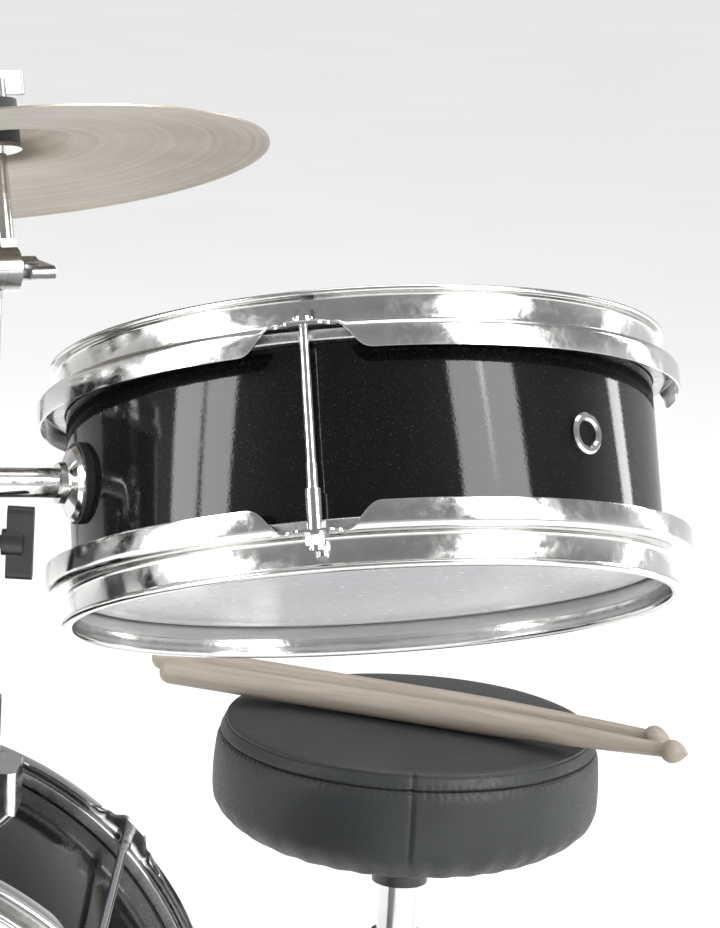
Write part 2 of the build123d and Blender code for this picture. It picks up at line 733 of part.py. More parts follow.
with BuildPart() as felts:
    for low, high in ((FELT_LOW, FELT_LOW + 9), (BELL_HEIGHT + FELT_GAP, BELL_HEIGHT + FELT_GAP + 8)):
        with BuildSketch(cymbal_plane.offset(low)):
            Circle(FELT_RADIUS)
            Circle(SHOULDER_RADIUS + 0.02, mode=Mode.SUBTRACT)
        extrude(amount=high - low)
save(felts, "cymbal_felts")

with BuildPart() as wing_nut:
    nut_low = BELL_HEIGHT + FELT_GAP + 8.6
    with BuildSketch(cymbal_plane.offset(nut_low)):
        Circle(7.0)
    extrude(amount=9)
    with BuildSketch(cymbal_plane.offset(nut_low + 3)):
        SlotOverall(32, 5.0)
    extrude(amount=10)
    with BuildSketch(cymbal_plane.offset(nut_low - 1)):
        Circle(CYMBAL_STUB_RADIUS + 0.02)
    extrude(amount=20, mode=Mode.SUBTRACT)
save(wing_nut, "cymbal_wing_nut")


# ---------------------------------------------------------------- bass drum pedal
PLATE = 3.0
POST_HALF = 38.0        # the middle of each pedal post, from the pedal's own middle
POST_THICK = 9.0
HOOP_BOTTOM = BASS_AXIS_Z - BASS_RADIUS - LIP_REACH
COLLAR_BOTTOM = BASS_AXIS_Z - BASS_RADIUS - COLLAR_GAP
CLAMP_LIFT = 2.4        # the jaws' undersides, above the lowest point inside the collar
CLAMP_TOP = 6.0         # and their tops
CLAMP_TIP = 2.6         # the clamp's reach over the hoop, behind the rear flange
CLAMP_FRONT = 15.4      # its upright, clear of the collar's lip
CLAMP_BACK = 18.9
JAW_X = 17.0
JAW_WIDTH = 13.0

with BuildPart() as pedal_base:
    with BuildSketch(Plane(origin=rear(0, 0, 0))):
        with BuildLine():
            Polyline(
                (-24, 2), (24, 2), (24, 30), (46, 36), (46, 66), (24, 80),
                (24, HEEL_Y + 14), (-24, HEEL_Y + 14), (-24, 80), (-46, 66), (-46, 36), (-24, 30),
                close=True,
            )
        make_face()
    extrude(amount=PLATE)
    with BuildSketch(Plane(origin=rear(0, 0, PLATE))):
        with Locations((-JAW_X, 8.5), (JAW_X, 8.5)):
            Rectangle(JAW_WIDTH, 12)
    extrude(amount=HOOP_BOTTOM - PLATE - 0.4)
save(pedal_base, "pedal_base_plate")

with BuildPart() as pedal_frame:
    for side in (-1, 1):
        face = rear(side * POST_HALF - POST_THICK / 2, AXLE_Y, 0)
        with BuildSketch(Plane(origin=face, x_dir=(0, 1, 0), z_dir=(1, 0, 0))):
            with BuildLine():
                Polyline(
                    (-13, PLATE), (13, PLATE), (13, PLATE + 6), (7, PLATE + 20), (9, AXLE_Z),
                    (9, AXLE_Z + 6), (-9, AXLE_Z + 6), (-9, AXLE_Z), (-7, PLATE + 20), (-13, PLATE + 6),
                    close=True,
                )
            make_face()
        extrude(amount=POST_THICK)
    with BuildSketch(Plane(origin=rear(0, AXLE_Y, PLATE))):
        Rectangle(2 * POST_HALF, 16)
    extrude(amount=5)
    with BuildSketch(Plane(origin=rear(POST_HALF, AXLE_Y + 10, PLATE))):
        with Locations((8, 8)):
            Rectangle(12, 16)
    extrude(amount=8)
    with BuildSketch(Plane(origin=rear(-POST_HALF - 10, AXLE_Y, AXLE_Z), x_dir=(0, 1, 0), z_dir=(1, 0, 0))):
        Circle(4 + FIT)
    extrude(amount=2 * POST_HALF + 20, mode=Mode.SUBTRACT)
save(pedal_frame, "pedal_frame")

with BuildPart() as hoop_clamp:
    for side in (-1, 1):
        face = rear(side * JAW_X - JAW_WIDTH / 2, 0, 0)
        with BuildSketch(Plane(origin=face, x_dir=(0, 1, 0), z_dir=(1, 0, 0))):
            with BuildLine():
                Polyline(
                    (CLAMP_TIP, COLLAR_BOTTOM + CLAMP_LIFT),
                    (CLAMP_TIP, COLLAR_BOTTOM + CLAMP_TOP),
                    (CLAMP_BACK, COLLAR_BOTTOM + CLAMP_TOP),
                    (CLAMP_BACK, PLATE + FIT),
                    (CLAMP_FRONT, PLATE + FIT),
                    (CLAMP_FRONT, COLLAR_BOTTOM + CLAMP_LIFT),
                    close=True,
                )
            make_face()
        extrude(amount=JAW_WIDTH)
    with BuildSketch(Plane(origin=rear(0, (CLAMP_FRONT + CLAMP_BACK) / 2, PLATE + FIT))):
        Rectangle(2 * JAW_X, CLAMP_BACK - CLAMP_FRONT)
    extrude(amount=COLLAR_BOTTOM + CLAMP_TOP - PLATE - FIT)
    with BuildSketch(Plane(origin=rear(0, (CLAMP_TIP + CLAMP_BACK) / 2, COLLAR_BOTTOM + CLAMP_LIFT))):
        Rectangle(2 * JAW_X, CLAMP_BACK - CLAMP_TIP)
    extrude(amount=CLAMP_TOP - CLAMP_LIFT)
    wing_bolt(
        Plane(origin=rear(0, 9, COLLAR_BOTTOM + 4), x_dir=(1, 0, 0), z_dir=UP),
        shank=3.0,
        wing_angle=0.0,
    )
save(hoop_clamp, "pedal_hoop_clamp")

with BuildPart() as heel_plate:
    with BuildSketch(Plane(origin=rear(0, HEEL_Y + 9, PLATE + 0.05))):
        RectangleRounded(52, 26, 4)
    extrude(amount=3.2)
    with BuildSketch(Plane(origin=rear(0, HEEL_Y + 1, PLATE + 3.0))):
        with Locations((-21, 0), (21, 0)):
            Rectangle(9, 9)
    extrude(amount=11)
    with BuildSketch(Plane(origin=rear(-26, HEEL_Y, HEEL_Z), x_dir=(0, 1, 0), z_dir=(1, 0, 0))):
        Circle(2.5)
    extrude(amount=52)
save(heel_plate, "pedal_heel_plate")

TOE_Y = AXLE_Y - CAM_RADIUS
TOE_Z = 50.0
board_run = Vector(0, TOE_Y - HEEL_Y, TOE_Z - HEEL_Z)
board_length = board_run.length
board_up = Vector(1, 0, 0).cross(board_run)
board_plane = Plane(origin=rear(0, HEEL_Y, HEEL_Z), x_dir=(1, 0, 0), z_dir=board_up)

with BuildPart() as footboard:
    with BuildSketch(board_plane.offset(1.5)):
        with BuildLine():
            Polyline(
                (-27, 6), (27, 6), (27, 60), (21, board_length - 12), (14, board_length + 4),
                (-14, board_length + 4), (-21, board_length - 12), (-27, 60),
                close=True,
            )
        make_face()
    extrude(amount=4)
    with BuildSketch(board_plane.offset(5.5)):
        with Locations(*[(0, board_length * share) for share in (0.25, 0.4, 0.55, 0.7, 0.85)]):
            RectangleRounded(30, 8, 3)
    extrude(amount=1.5)
    with BuildSketch(Plane(origin=rear(-16, HEEL_Y, HEEL_Z), x_dir=(0, 1, 0), z_dir=(1, 0, 0))):
        Circle(5.0)
    extrude(amount=32)
    with BuildSketch(board_plane.offset(-3.0)):
        with Locations((0, 5)):
            Rectangle(32, 9)
    extrude(amount=6)
    with BuildSketch(Plane(origin=rear(-30, HEEL_Y, HEEL_Z), x_dir=(0, 1, 0), z_dir=(1, 0, 0))):
        Circle(2.5 + FIT)
    extrude(amount=60, mode=Mode.SUBTRACT)
save(footboard, "pedal_footboard")

LINK_TOP_Z = AXLE_Z + 6.0
with BuildPart() as link:
    for side in (-1, 1):
        with BuildSketch(Plane(origin=rear(side * 6.5 - 1.25, TOE_Y, 0), x_dir=(0, 1, 0), z_dir=(1, 0, 0))):
            with BuildLine():
                Polyline(
                    (-5, TOE_Z + 7.5), (5, TOE_Z + 7.5), (5, LINK_TOP_Z), (-5, LINK_TOP_Z),
                    close=True,
                )
            make_face()
        extrude(amount=2.5)
    with BuildSketch(Plane(origin=rear(0, TOE_Y, TOE_Z + 5.6))):
        Rectangle(15.5, 10)
    extrude(amount=3)
save(link, "pedal_link")

beater_direction = Vector(0, sin(radians(BEATER_REST)), cos(radians(BEATER_REST)))
axle_point = rear(0, AXLE_Y, AXLE_Z)
with BuildPart() as axle:
    with BuildSketch(Plane(origin=axle_point - Vector(50, 0, 0), x_dir=(0, 1, 0), z_dir=(1, 0, 0))):
        Circle(4.0)
    extrude(amount=106)
    with BuildSketch(Plane(origin=axle_point - Vector(4.5, 0, 0), x_dir=(0, 1, 0), z_dir=(1, 0, 0))):
        with Locations((0, 0), (-CAM_RADIUS, 0)):
            Circle(7.0)
        make_hull()
        Circle(9.5)
    extrude(amount=9.0)
    with BuildSketch(Plane(origin=axle_point + Vector(48, 0, 0), x_dir=(0, 1, 0), z_dir=(1, 0, 0))):
        with Locations((0, 0), (18, 0)):
            Circle(5.0)
        make_hull()
    extrude(amount=5.0)
save(axle, "pedal_axle")

with BuildPart() as beater_rod:
    with BuildSketch(Plane(origin=axle_point + beater_direction * 9.7, z_dir=beater_direction)):
        Circle(3.0)
    extrude(amount=BEATER_LENGTH + 12)
save(beater_rod, "beater_rod")

beater_centre = axle_point + beater_direction * BEATER_LENGTH
face_direction = Vector(0, -cos(radians(BEATER_REST)), sin(radians(BEATER_REST)))
with BuildPart() as beater_head:
    beater_back = beater_centre - face_direction * 17
    with BuildSketch(Plane(origin=beater_back, x_dir=(1, 0, 0), z_dir=face_direction)):
        Circle(19.0)
    extrude(amount=34)
    fillet(beater_head.edges(), 6.0)
    with BuildSketch(Plane(origin=beater_centre - beater_direction * 30, z_dir=beater_direction)):
        Circle(3.02)
    extrude(amount=60, mode=Mode.SUBTRACT)
save(beater_head, "beater_head")

SPRING_Y = AXLE_Y + 18
SPRING_X = POST_HALF + 8.5
SPRING_LOW = 14.0
SPRING_HIGH = AXLE_Z - 6.0
with BuildPart() as spring:
    with BuildSketch(Plane(origin=rear(SPRING_X, SPRING_Y, SPRING_LOW))):
        Circle(5.0)
        Circle(3.4, mode=Mode.SUBTRACT)
    extrude(amount=SPRING_HIGH - SPRING_LOW)
save(spring, "pedal_spring")


# ---------------------------------------------------------------- stool
stool = kit(STOOL_X, STOOL_Y, 0)
CROWN_Z = 150.0
COLUMN_BOTTOM = 52.0
COLUMN_TOP = 172.0
SEAT_POST_RADIUS = 11.0
COLUMN_RADIUS = 14.0
LEG_RADIUS = 8.0
LEG_FIRST = 30.0
FOOT_HEIGHT = 14.0

with BuildPart() as cushion:
    with BuildSketch(Plane(origin=stool, x_dir=(1, 0, 0), z_dir=(0, -1, 0))):
        with BuildLine():
            Line((0, SEAT_BOTTOM), (SEAT_RADIUS - 12, SEAT_BOTTOM))
            Spline(
                (SEAT_RADIUS - 12, SEAT_BOTTOM),
                (SEAT_BULGE - 2, SEAT_BOTTOM + 16),
                (SEAT_BULGE - 0.5, SEAT_SEAM - 22),
                (SEAT_RADIUS, SEAT_SEAM),
                tangents=[(1, 0.1), (-0.6, 1)],
            )
            Spline(
                (SEAT_RADIUS, SEAT_SEAM),
                (SEAT_RADIUS - 20, SEAT_TOP - 1.2),
                (0, SEAT_TOP),
                tangents=[(-1, 0.35), (-1, 0)],
            )
            Line((0, SEAT_TOP), (0, SEAT_BOTTOM))
        make_face()
    revolve(axis=Axis(stool, UP))
save(cushion, "stool_cushion")

with BuildPart() as seat_plate:
    with BuildSketch(Plane(origin=stool + UP * (SEAT_BOTTOM - 4.1))):
        Circle(62)
    extrude(amount=4)
    with BuildSketch(Plane(origin=stool + UP * (SEAT_BOTTOM - 28))):
        Circle(SEAT_POST_RADIUS + 4)
    extrude(amount=24)
    with BuildSketch(Plane(origin=stool + UP * (SEAT_BOTTOM - 28))):
        Circle(SEAT_POST_RADIUS + FIT)
    extrude(amount=24, mode=Mode.SUBTRACT)
save(seat_plate, "stool_seat_plate")

with BuildPart() as seat_post:
    with BuildSketch(Plane(origin=stool + UP * 92)):
        Circle(SEAT_POST_RADIUS)
        Circle(SEAT_POST_RADIUS - 1.6, mode=Mode.SUBTRACT)
    extrude(amount=SEAT_BOTTOM - 4.3 - 92)
save(seat_post, "stool_seat_post")

height_bolt_plane = Plane(
    origin=stool + Vector(0, SEAT_POST_RADIUS + BOLT_GAP, CROWN_Z + 8),
    x_dir=(1, 0, 0),
    z_dir=(0, 1, 0),
)

with BuildPart() as column:
    with BuildSketch(Plane(origin=stool + UP * COLUMN_BOTTOM)):
        Circle(COLUMN_RADIUS)
    extrude(amount=COLUMN_TOP - COLUMN_BOTTOM)
    for low, tall in ((CROWN_Z - 13, 30.0), (COLUMN_BOTTOM + 4, 16.0)):
        with BuildSketch(Plane(origin=stool + UP * low)):
            Circle(COLUMN_RADIUS + 6)
        extrude(amount=tall)
    with BuildSketch(Plane(origin=stool + UP * COLUMN_BOTTOM)):
        Circle(SEAT_POST_RADIUS + FIT)
    extrude(amount=COLUMN_TOP - COLUMN_BOTTOM, mode=Mode.SUBTRACT)
    bolt_hole(height_bolt_plane, 20)
save(column, "stool_column")

with BuildPart() as height_bolt:
    wing_bolt(height_bolt_plane, shank=15.0)
save(height_bolt, "stool_height_bolt")


def stool_leg(number):
    """One leg tube with its lug, and its flat stay as a second solid; returns the foot's plane."""
    angle = radians(LEG_FIRST + 120 * number)
    outward = Vector(cos(angle), sin(angle), 0)
    sideways = Vector(-sin(angle), cos(angle), 0)
    top = stool + outward * (COLUMN_RADIUS + 16) + UP * CROWN_Z
    foot = stool + outward * LEG_SPREAD + UP * FOOT_HEIGHT
    run = (foot - top).normalized()
    stay_low = stool + outward * (COLUMN_RADIUS + 7) + UP * (COLUMN_BOTTOM + 12)
    stay_high = (top + foot) * 0.5 - UP * (1.45 * LEG_RADIUS + 2.4)
    stay_run = (stay_high - stay_low).normalized()
    with BuildPart() as leg:
        with BuildSketch(Plane(origin=top - run * 4, z_dir=run)):
            Circle(LEG_RADIUS)
        extrude(amount=(foot - top).length + 4)
        with BuildSketch(Plane(origin=stool + outward * (COLUMN_RADIUS + 6.05) + UP * CROWN_Z,
                               x_dir=sideways, z_dir=outward)):
            Rectangle(6, 20)
        extrude(amount=14)
        with BuildSketch(Plane(origin=stay_low, x_dir=sideways, z_dir=stay_run)):
            Rectangle(12, 3.6)
        extrude(amount=(stay_high - stay_low).length)
    save(leg, f"stool_leg_{number + 1}")
    return Plane(origin=foot - run * 16, z_dir=run)


foot_planes = [stool_leg(number) for number in range(3)]

with BuildPart() as feet:
    for plane in foot_planes:
        with BuildSketch(plane):
            Circle(LEG_RADIUS + 3)
        extrude(amount=60)
    split(bisect_by=Plane.XY, keep=Keep.TOP)
    for plane in foot_planes:
        with BuildSketch(plane):
            Circle(LEG_RADIUS + 0.01)
        extrude(amount=16.1, mode=Mode.SUBTRACT)
save(feet, "stool_feet")


# ---------------------------------------------------------------- sticks
def stick(name, butt, tip):
    """A turned stick: rounded butt, long taper, neck and bead."""
    run = (tip - butt).normalized()
    length = STICK_LENGTH
    bead = 14.0
    with BuildPart() as built:
        with BuildSketch(section_plane(Plane(origin=butt, z_dir=run))):
            with BuildLine():
                Line((0, 0), (STICK_RADIUS - 4, 0))
                Spline(
                    (STICK_RADIUS - 4, 0), (STICK_RADIUS, 5),
                    tangents=[(1, 0), (0, 1)],
                )
                Line((STICK_RADIUS, 5), (STICK_RADIUS, 0.62 * length))
                Spline(
                    (STICK_RADIUS, 0.62 * length),
                    (STICK_NECK, length - bead),
                    tangents=[(0, 1), (-0.06, 1)],
                )
                Spline(
                    (STICK_NECK, length - bead),
                    (STICK_BEAD, length - bead / 2),
                    (0, length),
                    tangents=[(0.5, 1), (-1, 0)],
                )
                Line((0, length), (0, 0))
            make_face()
        revolve(axis=Axis(butt, run))
    save(built, name)


STICK_Z = SEAT_TOP + STICK_RADIUS + 0.3
front_butt = kit(111.6, 451.4, STICK_Z)
front_tip = kit(389.1, 351.2, STICK_Z)
rear_butt = kit(105.6, 479.8, STICK_Z)
rear_tip = kit(382.6, 375.7, STICK_Z)
stick("stick_front", front_butt, front_tip)
stick("stick_rear", rear_butt, rear_tip)
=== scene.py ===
import json
import math

import bmesh
import bpy
from mathutils import Matrix, Vector, noise


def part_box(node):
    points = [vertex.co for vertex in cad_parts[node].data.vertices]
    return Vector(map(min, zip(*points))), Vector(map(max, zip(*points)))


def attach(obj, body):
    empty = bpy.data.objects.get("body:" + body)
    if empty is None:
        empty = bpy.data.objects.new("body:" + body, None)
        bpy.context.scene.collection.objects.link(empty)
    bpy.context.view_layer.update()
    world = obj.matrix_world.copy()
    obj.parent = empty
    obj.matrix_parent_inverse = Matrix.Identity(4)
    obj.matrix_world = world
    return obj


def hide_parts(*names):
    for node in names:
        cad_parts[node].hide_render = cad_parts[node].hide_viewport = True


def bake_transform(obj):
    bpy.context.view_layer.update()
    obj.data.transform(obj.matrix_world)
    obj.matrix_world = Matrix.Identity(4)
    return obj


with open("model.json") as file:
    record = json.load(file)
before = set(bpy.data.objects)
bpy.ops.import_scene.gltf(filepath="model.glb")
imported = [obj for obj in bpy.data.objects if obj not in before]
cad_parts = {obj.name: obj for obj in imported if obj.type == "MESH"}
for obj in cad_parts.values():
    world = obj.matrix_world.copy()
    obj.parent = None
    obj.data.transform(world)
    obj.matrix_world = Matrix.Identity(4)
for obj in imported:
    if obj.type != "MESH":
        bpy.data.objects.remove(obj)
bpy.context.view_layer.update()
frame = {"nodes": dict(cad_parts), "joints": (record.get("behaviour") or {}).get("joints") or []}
JOINTS = {joint["name"]: joint for joint in frame["joints"]}

# ---------------------------------------------------------------- sizes shared with the CAD model, in metres
BASS = {"name": "bass", "radius": 0.1524, "length": 0.182, "lugs": 4, "first": 45.0}
SIDE = {"name": "side_drum", "radius": 0.127, "length": 0.0842, "lugs": 3, "first": 60.0}
TOM = {"name": "tom", "radius": 0.1016, "length": 0.112, "lugs": 3, "first": 60.0}
SIDE_TILT = 22.9
TOM_TILT = 14.0
ARM_REACH = 0.0504
WALL = 0.005
SHEET = 0.0012
COLLAR_INSIDE = 0.0008
COLLAR_HEIGHT = 0.0145
LIP_REACH = 0.0064
SKIRT_REACH = 0.012
SKIRT_DEPTH = 0.0113
EAR_REACH = 0.016
EAR_HALF_WIDTH = 0.0078
WINDOW_WIDE = 0.029
WINDOW_NARROW = 0.0085
ROD_REACH = 0.0095
CYMBAL_RADIUS = 0.1205
BELL_RADIUS = 0.040
BELL_HEIGHT = 0.021
BOW_HEIGHT = 0.009
BRASS = 0.0012
STICK_LENGTH = 0.298
STICK_RADIUS = 0.007
STICK_NECK = 0.0036
STICK_BEAD = 0.0049


class Place:
    """An origin with three axes: x and y across a drum, z along its own axis."""

    def __init__(self, origin, x, z):
        self.origin = Vector(origin)
        self.z = Vector(z).normalized()
        self.x = (Vector(x) - self.z * Vector(x).dot(self.z)).normalized()
        self.y = self.z.cross(self.x)

    def shifted(self, height):
        return Place(self.origin + self.z * height, self.x, self.z)

    def flipped(self, height):
        """The far end's place: its z points out of the drum's other end."""
        return Place(self.origin - self.z * height, self.x, -self.z)

    def out(self, angle):
        return self.x * math.cos(angle) + self.y * math.sin(angle)

    def point(self, angle, radius, height):
        return self.origin + self.out(angle) * radius + self.z * height


def corners(node):
    low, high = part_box(node)
    return Vector(low), Vector(high)


def middle(node):
    low, high = corners(node)
    return (low + high) / 2


def drum_on_arm(joint, side, radius, tilt):
    """A drum's place, from the joint it tilts on: x towards its mount plate, z up its axis."""
    arm = Vector(joint["axis"]).normalized() * side
    lean = Vector((-arm.y * side, arm.x * side, 0)).normalized()
    rise = arm.cross(lean) * side
    axis = rise * math.cos(math.radians(tilt)) + lean * math.sin(math.radians(tilt))
    return Place(Vector(joint["pos_m"]) + arm * (ARM_REACH + radius), -arm, axis)


side_place = drum_on_arm(JOINTS["side_drum_tilt"], 1, SIDE["radius"], SIDE_TILT)
tom_place = drum_on_arm(JOINTS["tom_tilt"], -1, TOM["radius"], TOM_TILT)
bass_place = Place(middle("bass_shell"), (1, 0, 0), (0, -1, 0))


# ---------------------------------------------------------------- mesh helpers
def finish_mesh(name, verts, faces, sharp=35.0):
    """A smooth-shaded object of these points and faces, with edges sharper than the angle kept crisp."""
    mesh = bpy.data.meshes.new(name)
    mesh.from_pydata([tuple(v) for v in verts], [], faces)
    mesh.validate()
    work = bmesh.new()
    work.from_mesh(mesh)
    bmesh.ops.remove_doubles(work, verts=work.verts, dist=1e-6)
    bmesh.ops.recalc_face_normals(work, faces=work.faces)
    work.to_mesh(mesh)
    work.free()
    for polygon in mesh.polygons:
        polygon.use_smooth = True
    mesh.set_sharp_from_angle(angle=math.radians(sharp))
    piece = bpy.data.objects.new(name, mesh)
    bpy.context.scene.collection.objects.link(piece)
    return piece


def turned_faces(steps, count, closed=True):
    """Faces between neighbouring copies of an outline of count points; closed joins its two ends."""
    faces = []
    last = count if closed else count - 1
    for step in range(steps):
        here = step * count
        there = ((step + 1) % steps) * count
        for row in range(last):
            nxt = (row + 1) % count
            faces.append((here + row, there + row, there + nxt, here + nxt))
    return faces


def lathe(name, place, outline, steps, sharp=35.0, closed=True):
    """Turn an outline of (radius, height) about a place's axis; one that ends on the axis isn't closed."""
    verts = []
    for step in range(steps):
        angle = 2 * math.pi * step / steps
        for radius, height in outline:
            verts.append(place.point(angle, radius, height))
    return finish_mesh(name, verts, turned_faces(steps, len(outline), closed), sharp)


def arc(centre, radius, start, end, steps):
    """Points on an arc in the (radius, height) plane, angles in degrees."""
    points = []
    for step in range(steps + 1):
        angle = math.radians(start + (end - start) * step / steps)
        points.append((centre[0] + radius * math.cos(angle), centre[1] + radius * math.sin(angle)))
    return points


def smooth(value):
    """An eased step from 0 to 1 as the value goes from 0 to 1."""
    value = min(max(value, 0.0), 1.0)
    return value * value * (3 - 2 * value)


# ---------------------------------------------------------------- materials
class Shader:
    """A node material built up from procedural textures in object coordinates."""

    def __init__(self, name, **constants):
        self.material = bpy.data.materials.new(name)
        self.material.use_nodes = True
        self.tree = self.material.node_tree
        self.bsdf = self.tree.nodes["Principled BSDF"]
        self.coords = self.tree.nodes.new("ShaderNodeTexCoord").outputs["Object"]
        for key, value in constants.items():
            self.bsdf.inputs[key.replace("_", " ")].default_value = value

    def link(self, source, target):
        self.tree.links.new(source, target)

    def noise(self, scale, detail=3.0, rough=0.5, vector=None, distortion=0.0):
        node = self.tree.nodes.new("ShaderNodeTexNoise")
        node.inputs["Scale"].default_value = scale
        node.inputs["Detail"].default_value = detail
        node.inputs["Roughness"].default_value = rough
        node.inputs["Distortion"].default_value = distortion
        self.link(vector or self.coords, node.inputs["Vector"])
        return node.outputs["Fac"]

    def voronoi(self, scale, output, feature="F1"):
        node = self.tree.nodes.new("ShaderNodeTexVoronoi")
        node.feature = feature
        node.inputs["Scale"].default_value = scale
        self.link(self.coords, node.inputs["Vector"])
        return node.outputs[output]

    def ramp(self, factor, stops):
        node = self.tree.nodes.new("ShaderNodeValToRGB")
        elements = node.color_ramp.elements
        while len(elements) < len(stops):
            elements.new(0.5)
        for element, (position, colour) in zip(elements, stops):
            element.position = position
            element.color = (*colour, 1)
        self.link(factor, node.inputs["Fac"])
        return node.outputs["Color"]

    def span(self, factor, low, high, start=0.0, end=1.0):
        """Stretch the part of a factor between start and end to the range from low to high."""
        node = self.tree.nodes.new("ShaderNodeMapRange")
        node.inputs["From Min"].default_value = start
        node.inputs["From Max"].default_value = end
        node.inputs["To Min"].default_value = low
        node.inputs["To Max"].default_value = high
        self.link(factor, node.inputs["Value"])
        return node.outputs["Result"]

    def math(self, kind, first, second=None):
        """A math node; each of its two values is a number or another node's output."""
        node = self.tree.nodes.new("ShaderNodeMath")
        node.operation = kind
        for socket, value in zip(node.inputs, (first, second)):
            if value is None:
                continue
            if isinstance(value, (int, float)):
                socket.default_value = value
            else:
                self.link(value, socket)
        return node.outputs["Value"]

    def bump(self, height, strength, distance, normal=None):
        node = self.tree.nodes.new("ShaderNodeBump")
        node.inputs["Strength"].default_value = strength
        node.inputs["Distance"].default_value = distance
        self.link(height, node.inputs["Height"])
        if normal is not None:
            self.link(normal, node.inputs["Normal"])
        self.link(node.outputs["Normal"], self.bsdf.inputs["Normal"])
        return node.outputs["Normal"]

    def spin(self, turn, vector):
        """A vector turned by three Euler angles."""
        node = self.tree.nodes.new("ShaderNodeVectorRotate")
        node.rotation_type = "EULER_XYZ"
        node.inputs["Rotation"].default_value = turn
        self.link(vector, node.inputs["Vector"])
        return node.outputs["Vector"]

    def set(self, socket, source):
        self.link(source, self.bsdf.inputs[socket])


def chrome(name, tint, rough, wavy):
    """Bright plating: faint haze and finger marks in the gloss, and a slight pressed waviness."""
    shader = Shader(name, Metallic=1.0)
    haze = shader.noise(28, 5, 0.6)
    dark = tuple(0.86 * channel for channel in tint)
    shader.set("Base Color", shader.ramp(haze, [(0.3, dark), (0.7, tint)]))
    marks = shader.noise(160, 6, 0.7, distortion=0.4)
    shader.set("Roughness", shader.span(marks, rough * 0.6, rough * 2.2, 0.35, 0.75))
    shader.bump(shader.noise(34, 2, 0.4), wavy, 0.0006)
    return shader.material


def brushed(name, tint, rough):
    """Zinc or nickel plate with a fine directionless grain."""
    shader = Shader(name, Metallic=1.0)
    grain = shader.noise(900, 4, 0.6)
    dark = tuple(0.72 * channel for channel in tint)
    shader.set("Base Color", shader.ramp(grain, [(0.3, dark), (0.7, tint)]))
    shader.set("Roughness", shader.span(shader.noise(90, 4), rough * 0.7, rough * 1.4, 0.3, 0.7))
    shader.bump(grain, 0.15, 0.0001)
    return shader.material


def sparkle_wrap():
    """Deep black lacquered wrap with fine flakes under a clear glossy coat that is a little uneven."""
    shader = Shader(
        "black_sparkle_wrap", Specular_IOR_Level=0.05, Coat_Weight=0.6, Coat_Roughness=0.02, Coat_IOR=1.45,
    )
    flakes = shader.voronoi(2400, "Color")
    split = shader.tree.nodes.new("ShaderNodeSeparateColor")
    shader.link(flakes, split.inputs["Color"])
    bare_share = 0.94
    bright = shader.math("GREATER_THAN", split.outputs["Red"], bare_share)
    shade = shader.math("MULTIPLY", bright, split.outputs["Green"])
    lacquer = (0.0010, 0.0010, 0.0011)
    flake = (0.018, 0.018, 0.019)
    shader.set("Base Color", shader.ramp(shade, [(0.0, lacquer), (1.0, flake)]))
    shader.set("Roughness", shader.span(split.outputs["Blue"], 0.35, 0.6))
    peel = shader.noise(900, 3, 0.6)
    slow = shader.noise(60, 2, 0.4)
    uneven = shader.tree.nodes.new("ShaderNodeBump")
    uneven.inputs["Strength"].default_value = 0.5
    uneven.inputs["Distance"].default_value = 0.00003
    shader.link(shader.math("ADD", peel, slow), uneven.inputs["Height"])
    shader.link(uneven.outputs["Normal"], shader.bsdf.inputs["Coat Normal"])
    return shader.material


def drum_film(name, tint, haze):
    """A coated plastic head: faint mottling and a satin gloss."""
    shader = Shader(name, IOR=1.45)
    cloud = shader.noise(22, 4, 0.6)
    darker = tuple(0.93 * channel for channel in tint)
    shader.set("Base Color", shader.ramp(cloud, [(0.3, darker), (0.7, tint)]))
    shader.set("Roughness", shader.span(shader.noise(300, 3), haze * 0.8, haze * 1.25, 0.3, 0.7))
    shader.bump(shader.noise(1400, 2), 0.06, 0.0001)
    return shader.material


def cymbal_brass():
    """Turned sheet brass: rings of lathe marks about the cymbal's axis, and dull patches."""
    shader = Shader("turned_brass", Metallic=1.0, Anisotropic=0.5)
    turn = cymbal_place.z.to_track_quat("Z", "Y").inverted().to_euler()
    centred = shader.tree.nodes.new("ShaderNodeVectorMath")
    centred.operation = "SUBTRACT"
    shader.link(shader.coords, centred.inputs[0])
    centred.inputs[1].default_value = cymbal_place.origin
    parts = shader.tree.nodes.new("ShaderNodeSeparateXYZ")
    shader.link(shader.spin(turn, centred.outputs["Vector"]), parts.inputs["Vector"])
    across = shader.math("MULTIPLY", parts.outputs["X"], parts.outputs["X"])
    along = shader.math("MULTIPLY", parts.outputs["Y"], parts.outputs["Y"])
    radius = shader.math("SQRT", shader.math("ADD", across, along))
    ring = shader.tree.nodes.new("ShaderNodeCombineXYZ")
    shader.link(radius, ring.inputs["X"])
    marks = shader.noise(2600, 5, 0.8, vector=ring.outputs["Vector"])
    broad = shader.noise(240, 3, 0.6, vector=ring.outputs["Vector"])
    patch = shader.noise(26, 4, 0.6)
    mixed = shader.math("ADD", shader.math("MULTIPLY", marks, 0.45), shader.math("MULTIPLY", broad, 0.35))
    mixed = shader.math("ADD", mixed, shader.math("MULTIPLY", patch, 0.25))
    shader.set("Base Color", shader.ramp(mixed, [
        (0.30, (0.20, 0.172, 0.135)), (0.50, (0.32, 0.285, 0.23)), (0.72, (0.45, 0.41, 0.345)),
    ]))
    shader.set("Roughness", shader.span(mixed, 0.42, 0.30, 0.3, 0.75))
    shader.bump(shader.math("ADD", marks, broad), 0.35, 0.0002)
    return shader.material


